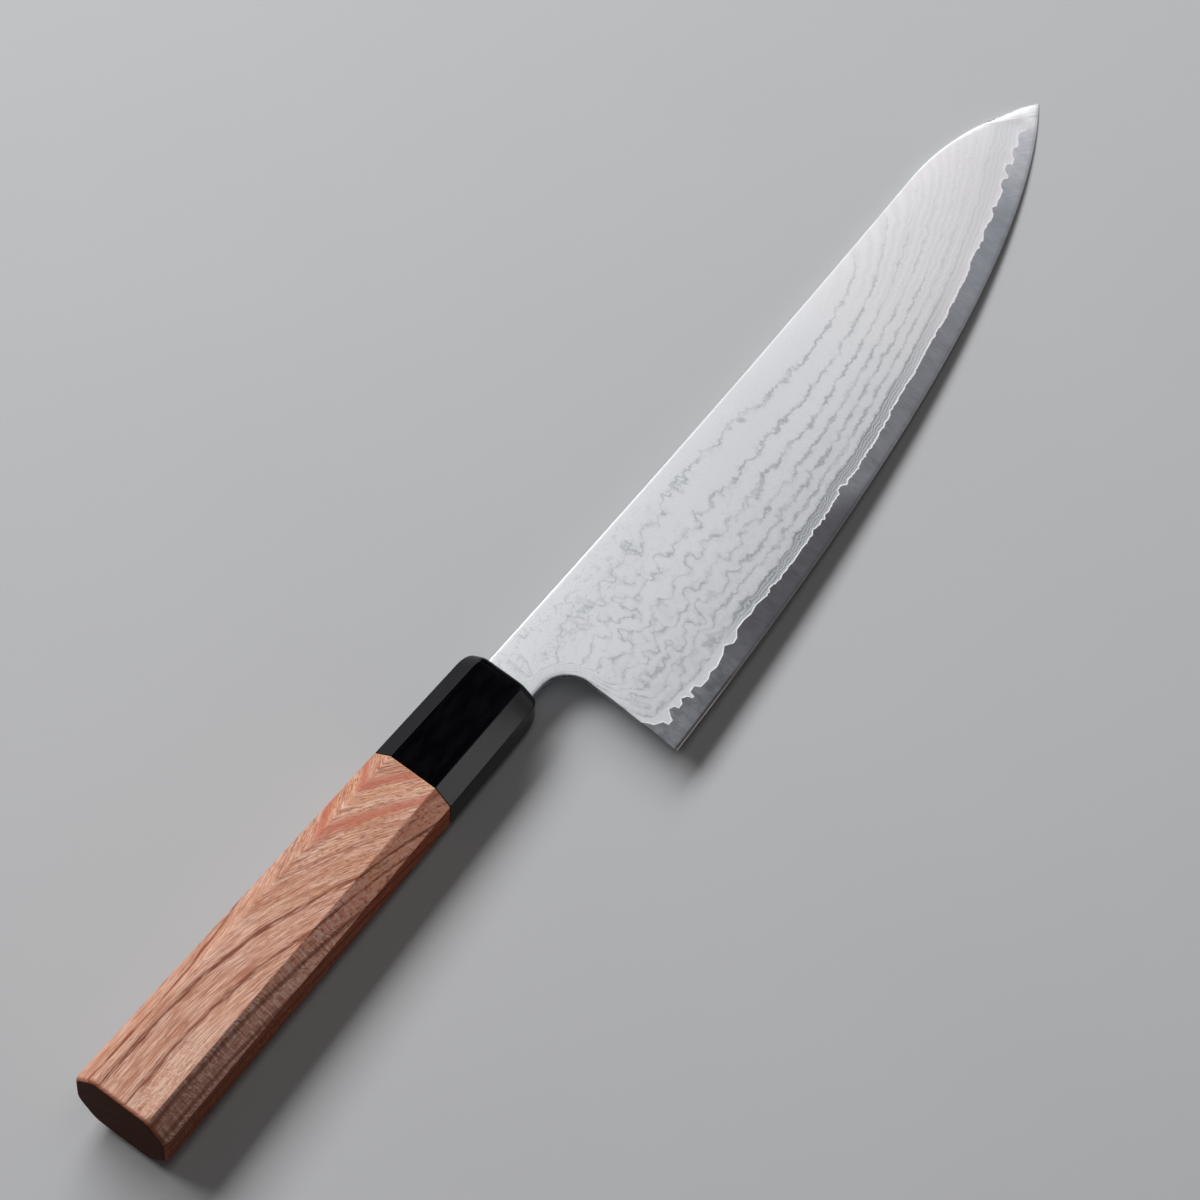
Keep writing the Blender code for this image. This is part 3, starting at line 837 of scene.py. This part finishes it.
def damascus():
    """Layered steel: thin dark lines where the layers come out of the ground face, and a face that grows
    lighter towards the tip, partly the steel's own paler tone and partly painted highlight.
    """
    t = Tree("damascus_steel", FACE_TONE)
    x, y, _ = t.split(t.place())
    layer, from_line, from_back, from_spine, density = (
        t.value(name) for name in ("layer", "from_line", "from_back", "from_spine", "layers_per_mm")
    )
    density = t.most(density, LEAST_DENSITY)

    def bend(per_mm, detail, roughness, start, end, by_heel, by_tip):
        """How far the layers are pushed up the face, at most half of by_heel to half of by_tip in mm."""
        pushed = t.minus(t.cloud(per_mm, detail, roughness), 0.5)
        return t.times(pushed, t.ramp(x, start, end, by_heel, by_tip))

    jags = bend((0.85, 0.5, 0.4), 3, 0.6, 60, 125, 2.2, 1.2)
    bent = t.maths("ADD", bend((0.3, 0.12, 0.3), 1.5, 0.45, 26, 62, 6.5, 1), jags)
    bent = t.maths("ADD", bend((0.25, 0.2, 0.2), 1.5, 0.45, 22, 92, 7.5, 1.2), bent)
    calm = t.times(t.ramp(from_line, 0, 6, 0.3, 1), t.ramp(from_back, 0, 3.5))
    bent = t.times(bent, calm, t.maths("POWER", t.times(density, 0.45), 0.5))
    plain = t.times(layer, t.minus(1, t.ramp(from_back, 0, 3.2, 0.62, 0)))
    layer = t.maths("ADD", plain, bent)

    speckle = t.cloud((2.4, 2.4, 2.4), 2, 0.6)
    smoke = t.cloud((0.5, 0.7, 0.5), 3, 0.65)
    # Painted highlight, with part of the steel's own tone: the face lighter towards the tip and lightest
    # at it
    t.lay(t.ramp(x, 70, 170), FACE_TIPWARD_TONE_AND_HIGHLIGHT)
    t.lay(t.ramp(x, 166, 180), FACE_TIP_TONE_AND_HIGHLIGHT)
    cloudy = t.ramp(t.cloud((0.04, 0.08, 0.05)), 0.35, 0.65)
    t.lay(t.times(cloudy, t.ramp(x, 60, 120, 0.28, 0.06)), CLOUD_TONE)
    t.shade(t.ramp(speckle, 0.25, 0.75, 0.97, 1.03))
    t.shade(t.ramp(y, -14, 3, 1.06, 0.975))

    # Lines, how wide they are, and the haze beside them
    beside = t.maths("DIVIDE", t.maths("PINGPONG", layer, 0.5), density)
    width = t.times(t.ramp(smoke, 0.3, 0.7, 0.3, 1.25), t.ramp(x, 80, 130, 1, 0.7))
    beside = t.maths("DIVIDE", beside, width)
    line = t.ramp(beside, 0.1, 1, t.ramp(x, 20, 70, 0.9, 1), 0)
    haze = t.ramp(beside, 0.5, 2.6, t.ramp(x, 20, 100, 0.3, 0.12), 0)
    patchy = t.ramp(t.cloud((0.2, 0.36, 0.3)), 0.36, 0.6, 0.4, 0.95)
    faded = t.times(t.ramp(x, 100, 164, 1, 0.17), t.ramp(x, 0, 22, 0.7, 1))
    high = t.times(t.ramp(from_spine, 0.5, 3, 0.7, 0), t.ramp(x, 90, 120))
    line = t.times(t.most(line, haze), patchy, faded, t.minus(1, high))
    line = t.times(line, t.ramp(plain, 0.7, 0.85), t.ramp(speckle, 0.3, 0.6, 1, 0.6))

    # Closed loops by the neck, and fine lines towards the tip
    loops = t.times(
        t.ramp(t.off(t.cloud((0.4, 0.5, 0.4), 3, 0.55), 0.5), 0.006, 0.045, 0.42, 0),
        t.ramp(x, 30, 66, 1, 0),
        t.ramp(from_spine, 9, 15, 1, 0),
        t.ramp(from_spine, 0.5, 2),
        t.ramp(smoke, 0.4, 0.6),
    )
    fine_lines = t.times(
        t.ramp(t.maths("PINGPONG", t.times(layer, 2.3), 0.5), 0.08, 0.4, 1, 0),
        t.ramp(x, 112, 135, 0, 0.1),
        t.ramp(x, 150, 172, 1, 0.6),
    )
    line = t.most(line, loops)
    t.lay(t.most(line, fine_lines), LINE_TONE)

    folds = t.sum(0.5, jags, t.times(layer, 3.4))
    strip = t.times(
        t.ramp(layer, 0.98, 1.1, 1, 0),
        t.ramp(from_line, 0.25, 0.5),
        t.ramp(x, 33, 50),
        t.ramp(x, 95, 145, 1, 0.12),
        t.ramp(t.maths("PINGPONG", folds, 0.5), 0.05, 0.42, 0.95, 0.35),
    )
    t.lay(strip, STRIP_TONE)

    uneven = t.ramp(t.cloud((1.3, 1.3, 1.3)), 0.3, 0.7, 0.55, 1.4)
    reach = t.times(t.ramp(x, 24, 48, 0.28, 0.21), uneven, t.ramp(x, 110, 150, 1, 1.7))
    bright = t.times(
        t.ramp(t.maths("DIVIDE", from_line, reach), 0.6, 1.4, 1, 0),
        t.ramp(x, 20, 40, 0.7, 0.9),
        t.ramp(x, 100, 150, 1, 0.6),
    )
    t.lay(bright, t.mix(t.ramp(x, 105, 140), BRIGHT_TONE, TIP_BRIGHT_TONE))

    grain = t.noise(t.place((1, 3, 1)), 2.6, 3, 0.65)
    return t.finish(
        Metallic=1,
        Roughness=t.ramp(grain, 0.2, 0.8, 0.36, 0.46),
        Normal=t.bump(t.sum(-0.3, line, grain), 0.12, FINE_BUMP),
    )


CORE_TONE = tone(122, 124, 130)  # by the heel
# Where further tones start and are full, in mm along the blade, and how far their border leans
CORE_TONES = (
    (12, 32, 0, tone(108, 110, 115)),
    (32, 46, 0, tone(92, 92, 97)),
    (78, 91, 1.65, tone(126, 128, 134)),
    (110, 158, 0, tone(146, 150, 158)),
    (156, 182, 0, tone(200, 203, 210)),
)
# Painted highlight near the tip: white by the eased spine, and over the very tip
CORE_SPINE_HIGHLIGHT = tone(242, 243, 245)
CORE_TIP_HIGHLIGHT = tone(240, 242, 246)
GROOVE_TONE = tone(60, 57, 60)  # just above the cutting edge
BEVEL_TONE = tone(176, 166, 158)


def core_steel():
    """Bare core steel: brushed, darker by the heel and lighter towards the tip, with a painted highlight
    by the spine near the tip and over the very tip.
    """
    t = Tree("core_steel", CORE_TONE)
    x, y, _ = t.split(t.place())
    above = t.value("above_edge")
    for start, full, lean, tint in CORE_TONES:
        t.lay(t.ramp(t.sum(lean, above, x), start, full), tint)
    # Painted highlight: white by the spine near the tip and over the very tip, where the eased spine
    # catches the key light
    spine_highlight = t.times(t.ramp(t.value("from_spine"), 0.8, 3, 1, 0), t.ramp(x, 172, 180))
    t.lay(spine_highlight, CORE_SPINE_HIGHLIGHT)
    t.lay(t.ramp(x, 179.5, 183.5, 0, 0.85), CORE_TIP_HIGHLIGHT)
    upright = t.noise(t.place((4, 0.25, 1)), 1.4, 3, 0.7)
    leaning = t.joined(t.sum(1.1, y, x), y, 0)
    crossed = t.noise(t.scaled(leaning, (3, 0.2, 1)), 1.3, 3, 0.7)
    brushed = t.mix(t.ramp(x, 150, 162), upright, crossed)
    wide = t.ramp(t.cloud((0.35, 0.12, 0.3)), 0.3, 0.7, 0.94, 1.06)
    blotch = t.ramp(t.cloud((0.5, 0.35, 0.5), 3, 0.6), 0.35, 0.65, 0.84, 1.16)
    t.shade(t.times(t.ramp(brushed, 0.25, 0.75, 0.86, 1.14), wide))
    t.lay(t.ramp(x, 26, 44, 1, 0.12), blotch, "MULTIPLY")
    strong = t.times(t.ramp(x, 28, 40, 0.85, 0.25), t.ramp(x, 85, 120, 1, 0.5))
    t.lay(t.times(t.ramp(above, 0.5, 0.95, 1, 0), strong), GROOVE_TONE)
    t.lay(t.times(t.ramp(above, 0.14, 0.26, 1, 0), t.ramp(x, 24, 36, 0.8, 0.25)), BEVEL_TONE)
    return t.finish(
        Metallic=1,
        Roughness=t.ramp(brushed, 0.2, 0.8, 0.4, 0.5),
        Normal=t.bump(brushed, 0.1, FINE_BUMP),
    )


def horn():
    """Polished black horn with a trace of cloudiness and fine scratches."""
    t = Tree("black_horn")
    cloud = t.noise(t.place((0.3, 1, 1)), 0.5, 3, 0.6)
    scratch = t.cloud((0.4, 6, 6), 3, 0.7)
    return t.finish(
        Base_Color=t.mix(t.ramp(cloud, 0.35, 0.7), tone(4, 4, 7), tone(12, 12, 16)),
        Roughness=t.ramp(scratch, 0.35, 0.75, 0.08, 0.13),
        Normal=t.bump(cloud, 0.05, HORN_BUMP),
        Specular_IOR_Level=0.15,
        IOR=1.5,
    )


GRAIN_LEAN = (0.41, 0.91)  # growth layers face the spine this much, and upwards this much
GRAIN_TURN_START = 125  # mm from the ferrule's face, where the grain starts to turn
GRAIN_TURN_LENGTH = 105
GRAIN_POWER = 2.45
SHALLOW_GRADE = 0.4  # how fast the layers change across the facets that they meet at a small angle
STEEP_GRADE = 0.92  # and across the others
SHORTENING_START = 98  # mm from the ferrule's face, from where the streaks get shorter
SHORTENING = 0.006
WOOD_TONES = (tone(208, 144, 115), tone(232, 177, 153))
PALE_TONE = tone(244, 197, 174)
BROWN_TONE = tone(186, 112, 80)
FIBRE_TONES = (tone(152, 84, 57), tone(254, 221, 200))
HAIR_TONE = tone(142, 78, 52)
ORANGE_TONE = tone(226, 158, 98)
DOT_TONE = tone(140, 72, 46)
STEEP_TONES = (tone(190, 126, 112), tone(250, 178, 150))  # by the butt and the ferrule
RIB_TONES = (tone(250, 220, 204), tone(138, 78, 62))
# Painted light: lightens the edge side's steep facets, in half shade, towards the ferrule
EDGE_SIDE_PAINTED_LIGHT = (1.82, 1.68, 1.72, 1)  # of the facet in half shade, by the ferrule
FLECK_TONE = tone(252, 222, 202)
MOTTLE_TONES = (tone(120, 66, 46), tone(250, 208, 182))
HALO_TONE = tone(154, 76, 48)
# Painted shade: darkens and reddens the edge side's side facet, which lies in shade
EDGE_SIDE_PAINTED_SHADE = tone(172, 115, 69)
ROUNDING_TONE = tone(168, 84, 46)
# The butt's end: end grain's own darker tone, deepened by painted shade, as the end faces away from the
# light
END_GRAIN_AND_SHADE_TONE = tone(58, 27, 18)
RIM_TONE = tone(236, 160, 100)
# Growth lines: places across the layers, half widths, both in mm, and strengths
DARK_LINES = ((11.15, 0.24, 0.9), (8.5, 0.22, 0.85), (4.7, 0.4, 0.85), (0.8, 0.38, 0.85),
              (-3.2, 0.4, 0.7), (-7, 0.35, 0.7), (14.4, 0.2, 0.3))
DARK_LINE_TONE = tone(104, 40, 16)
RED_BANDS = ((17, 0.9, 0.7), (20.4, 0.85, 0.7), (24.4, 0.7, 0.6))
RED_BAND_TONE = tone(200, 106, 82)


def wood():
    """Reddish hardwood, straight at the butt and turning across the handle towards the ferrule, with
    painted light and shade on the edge side and painted shade on the butt's end.
    """
    t = Tree("handle_wood")
    x, y, z = t.split(t.place())
    past = t.most(t.maths("ADD", x, GRAIN_TURN_START), 0)
    share = t.maths("POWER", t.maths("DIVIDE", past, GRAIN_TURN_LENGTH), GRAIN_POWER)
    turned = t.sum(GRAIN_TURN_LENGTH / GRAIN_POWER, share, y)
    depth = t.sum(GRAIN_LEAN[0], turned, t.times(z, GRAIN_LEAN[1]))
    round_it = t.sum(GRAIN_LEAN[1], turned, t.times(z, -GRAIN_LEAN[0]))
    drawn = t.joined(t.times(x, 0.06), t.times(depth, 0.35), t.times(round_it, 0.1))
    wander = t.minus(t.noise(drawn, 1), 0.5)
    depth = t.sum(0.5, wander, depth)

    def half_flat(front, butt):
        """Half a facet's width at each place along the handle, in mm."""
        return t.sum((front - butt) / 2 / HANDLE_LENGTH, x, front / 2 / MM)

    crossed = t.maths("LESS_THAN", t.times(y, z), 0)
    past_top = t.maths("GREATER_THAN", t.maths("ABSOLUTE", y), half_flat(*TOP_FLATS))
    on_side = t.maths("LESS_THAN", t.maths("ABSOLUTE", z), half_flat(*SIDE_FLATS))
    steep = t.most(t.times(crossed, past_top), on_side)
    across = t.times(depth, t.ramp(steep, 0, 1, 1 / SHALLOW_GRADE, 1 / STEEP_GRADE))
    sped = t.most(t.maths("ADD", x, SHORTENING_START), 0)
    sped = t.sum(SHORTENING, t.times(sped, sped), x)

    def streaks(per_mm, length, seed, detail=2):
        """Noise drawn out along the grain, shorter towards the ferrule."""
        vector = t.joined(
            t.sum(1 / length, sped, seed),
            t.times(across, per_mm),
            t.times(round_it, 0.12),
        )
        return t.noise(vector, 1, detail, 0.6)

    fibre = streaks(3.4, 6.5, 7)
    hair = t.off(streaks(2.1, 9, 13), 0.5)
    t.colour = t.mix(t.ramp(streaks(0.2, 30, 3), 0.35, 0.65), *WOOD_TONES)
    t.lay(t.ramp(streaks(0.8, 16, 5, 3), 0.42, 0.62, 0, 0.5), PALE_TONE)
    t.lay(t.ramp(streaks(0.75, 20, 23, 3), 0.52, 0.66, 0, 0.4), BROWN_TONE)
    t.lay(t.ramp(fibre, 0.5, 0.66, 0, 0.42), FIBRE_TONES[0])
    t.lay(t.ramp(fibre, 0.36, 0.5, 0.62, 0), FIBRE_TONES[1])
    t.lay(t.ramp(hair, 0, 0.045, 0.5, 0), HAIR_TONE)
    orange = t.ramp(streaks(0.3, 20, 61), 0.45, 0.6)
    t.lay(t.times(orange, t.ramp(x, -70, -45, 0.05, 0.28)), ORANGE_TONE)
    dots = t.ramp(streaks(2.6, 2.2, 71, 1), 0.54, 0.66)
    t.lay(t.times(dots, t.ramp(x, -84, -52), 0.6), DOT_TONE)

    # Ribs and mottling of the steep facets, painted light on the edge side's steep facets towards the
    # ferrule, and flecks by a corner near the butt
    leaning = t.maths("ADD", t.times(across, 0.3), t.times(wander, 3))
    ribs = t.joined(t.sum(1.7, x, leaning), t.times(leaning, 1.1), 0)
    ribs = t.noise(ribs, 1, 1, 0.6)
    patch = t.ramp(streaks(0.3, 16, 53), 0.38, 0.56, 0.55, 1)
    patch = t.times(patch, steep, t.ramp(x, -78, -54, 1, 0.15))
    t.lay(t.times(steep, 0.35), t.mix(t.ramp(x, -120, -40), *STEEP_TONES))
    t.lay(t.times(t.ramp(ribs, 0.48, 0.64, 0, 0.85), patch), RIB_TONES[0])
    t.lay(t.times(t.ramp(ribs, 0.34, 0.5, 0.42, 0), patch), RIB_TONES[1])
    edge_side = t.maths("LESS_THAN", y, 0)
    steep_edge_side = t.times(steep, edge_side)
    # Painted light: the edge side's steep facets, in half shade, made lighter towards the ferrule
    t.lay(t.times(t.ramp(x, -128, -50), steep_edge_side), EDGE_SIDE_PAINTED_LIGHT, "MULTIPLY")
    flecks = t.joined(t.sum(0.5, across, x), t.times(across, 1.7), wander)
    flecks = t.ramp(t.noise(flecks, 1.1, 3, 0.65), 0.46, 0.64)
    near_corner = t.ramp(t.off(depth, 7), 0.6, 1.7, 1, 0)
    t.lay(t.times(flecks, t.ramp(x, -114, -96, 0.6, 0), near_corner), FLECK_TONE)
    mottle = streaks(1.5, 1.6, 91, 3)
    shown = t.times(steep_edge_side, t.ramp(x, -100, -60, 0.2, 1))
    t.lay(t.times(t.ramp(mottle, 0.5, 0.64, 0, 0.55), shown), MOTTLE_TONES[0])
    t.lay(t.times(t.ramp(mottle, 0.38, 0.5, 0.4, 0), shown), MOTTLE_TONES[1])

    ragged = t.sum(1.2, t.minus(fibre, 0.5), depth)
    narrowing = t.ramp(steep, 0, 1, 1, 0.5)
    paling = t.ramp(steep, 0, 1, 1, 0.75)
    for places, tint in ((RED_BANDS, RED_BAND_TONE), (DARK_LINES, DARK_LINE_TONE)):
        for place, half, strength in places:
            away = t.minus(ragged, place)
            near = t.times(t.maths("ABSOLUTE", away), narrowing)
            t.lay(t.times(t.ramp(near, 0.15 * half, half, strength, 0), paling), tint)
            if places is DARK_LINES:
                halo = t.times(t.ramp(away, -2.5 * half, 0), t.ramp(away, 0, half, 1, 0))
                t.lay(t.times(halo, 0.4 * strength), HALO_TONE)
    # Painted shade: the edge side's side facet, in shade, made darker and redder
    t.lay(t.times(on_side, edge_side, 0.95), EDGE_SIDE_PAINTED_SHADE, "MULTIPLY")

    butt = -HANDLE_LENGTH / MM
    front = WOOD_FRONT / MM
    end = t.ramp(x, butt + 0.06, butt + 0.3, 1, 0)
    t.lay(t.ramp(x, butt + 0.4, butt + 1.2, 0.65, 0), ROUNDING_TONE)
    # End grain's darker tone, deepened by painted shade of the butt's end, which faces away from the light
    t.lay(t.times(end, 0.93), END_GRAIN_AND_SHADE_TONE)
    t.lay(t.times(t.ramp(x, front - 0.3, front - 0.1), 0.7), RIM_TONE)
    return t.finish(
        Roughness=t.most(t.ramp(fibre, 0.3, 0.7, 0.48, 0.58), t.times(end, 0.9)),
        Normal=t.bump(t.minus(hair, fibre), 0.5, WOOD_BUMP),
        Specular_IOR_Level=0.3,
    )


def dowel_wood():
    """Plain turned wood of the hidden dowel."""
    t = Tree("dowel_wood")
    grain = t.cloud((0.1, 3, 3), 3)
    return t.finish(Base_Color=t.mix(grain, tone(196, 160, 112), tone(222, 194, 146)), Roughness=0.6)


def adhesive():
    """Set resin round the hidden tang."""
    t = Tree("adhesive")
    cloud = t.noise(t.place(), 0.8)
    return t.finish(Base_Color=t.mix(cloud, tone(196, 170, 110), tone(214, 190, 130)), Roughness=0.4)


# Stage

TARGET = Vector((1.0791, 11.3152, 0)) * MM
AZIMUTH = math.radians(-52.04)
ELEVATION = math.radians(65.04)
ROLL = math.radians(-0.16)
DISTANCE = 1391.36 * MM
FOCAL_SHARE = 6448.6 / 1200  # focal length over the frame's width
SENSOR = 36  # mm
CLIPPING = (0.05, 20)  # m
FLOOR_HALF = 3.0  # m
FLOOR_TONES = (tone(198, 200, 204), tone(205, 207, 210))
FLOOR_BOUNCE = tone(74, 50, 36)
AMBIENT = 0.025
AMBIENT_TINT = (1, 0.95, 0.9, 1)
PALE_WORLD = tone(196, 198, 201)


def camera():
    """The photograph's view of the knife."""
    data = bpy.data.cameras.new("camera")
    data.sensor_width = data.sensor_height = SENSOR
    data.sensor_fit = "HORIZONTAL"
    data.lens = FOCAL_SHARE * SENSOR
    data.clip_start, data.clip_end = CLIPPING
    made = placed("camera", data)
    level = math.cos(ELEVATION)
    forward = Vector((-math.sin(AZIMUTH) * level, math.cos(AZIMUTH) * level, -math.sin(ELEVATION)))
    right = Vector((math.cos(AZIMUTH), math.sin(AZIMUTH), 0))
    up = right.cross(forward)
    rolled = right * math.cos(ROLL) + up * math.sin(ROLL)
    up = up * math.cos(ROLL) - right * math.sin(ROLL)
    turned = Matrix((rolled, up, -forward)).transposed().to_4x4()
    turned.translation = TARGET - forward * DISTANCE
    made.matrix_world = turned
    bpy.context.scene.camera = made


def area_light(name, azimuth, elevation, distance, size, radiance, colour, shift=0, turn=0):
    """A rectangular soft light that faces the knife, with angles in degrees and a slide sideways."""
    data = bpy.data.lights.new(name, "AREA")
    data.shape = "RECTANGLE"
    data.size, data.size_y = size
    data.energy = radiance * math.pi * size[0] * size[1]
    data.color = colour
    made = placed(name, data)
    a, e = math.radians(azimuth), math.radians(elevation)
    towards = Vector((math.cos(a) * math.cos(e), math.sin(a) * math.cos(e), math.sin(e)))
    aside = Vector((math.sin(a), -math.cos(a), 0))
    made.matrix_world = Matrix.Translation(TARGET + towards * distance + aside * shift) @ (
        towards.to_track_quat("Z", "Y").to_matrix().to_4x4() @ Matrix.Rotation(math.radians(turn), 4, "Z")
    )


def floor():
    """A plain pale floor under the knife, which throws little light back at it."""
    mesh = bpy.data.meshes.new("floor")
    corners = [(-FLOOR_HALF, -FLOOR_HALF, 0), (FLOOR_HALF, -FLOOR_HALF, 0)]
    corners += [(-p[0], -p[1], 0) for p in corners]
    mesh.from_pydata(corners, [], [(0, 1, 2, 3)])
    made = placed("floor", mesh)
    t = Tree("floor")
    mottle = t.noise(t.node("TexCoord").outputs["Object"], 6, 4, 0.6)
    t.colour = t.mix(t.seen_directly(), FLOOR_BOUNCE, t.mix(mottle, *FLOOR_TONES))
    mesh.materials.append(t.finish(Roughness=0.8, Specular_IOR_Level=0.2))


def world():
    """Dim light from all round, pale to the camera, and low down and on the edge's side to mirrors."""
    t = Tree("world", kind="worlds")
    bpy.context.scene.world = t.owner
    dim = t.nodes["Background"]
    t.set(dim.inputs[0], AMBIENT_TINT)
    t.set(dim.inputs[1], AMBIENT)
    pale = t.node("Background", {0: PALE_WORLD})
    _, y, z = t.split(t.node("TexCoord").outputs["Generated"])
    edge_side = t.times(t.ramp(y, 0.1, -0.3), t.ramp(z, 0.45, 0.8, 1, 0))
    pale_parts = t.most(t.ramp(z, 0.1, 0.28, 1, 0), edge_side)
    mirrored = t.times(t.seen_directly(), pale_parts)
    seen = t.most(mirrored, t.node("LightPath").outputs["Is Camera Ray"])
    mixed = t.node("MixShader", {0: seen, 1: dim.outputs[0], 2: pale.outputs[0]})
    t.set(t.nodes["World Output"].inputs[0], mixed.outputs[0])


def stage():
    floor()
    world()
    area_light("key", 90, 48.5, 1.4, (2.4, 0.6), 6.2, (1, 0.99, 0.98), shift=0.7)
    area_light("top_fill", -90, 82, 1.4, (1.3, 0.4), 1.1, (1, 0.97, 0.94))
    area_light("side_card", -69.3, 20, 0.55, (0.07, 0.08), 3.6, (0.97, 0.98, 1), shift=0.0394)
    area_light("side_card_dim", -55.4, 12.9, 0.55, (0.292, 0.05), 0.85, (1, 1, 1), turn=-29.5)
    bpy.context.scene.view_settings.view_transform = "Standard"


def main():
    camera()
    stage()
    steel = damascus()
    core("blade_core", "core_steel", core_steel())
    cladding("blade_right_cladding", "right_cladding", 1, steel)
    cladding("blade_left_cladding", "left_cladding", -1, steel)
    ferrule(horn())
    grip(wood())
    for node, material in (("dowel", dowel_wood()), ("tang_adhesive", adhesive())):
        frame["nodes"][node].material_slots[0].material = material


main()
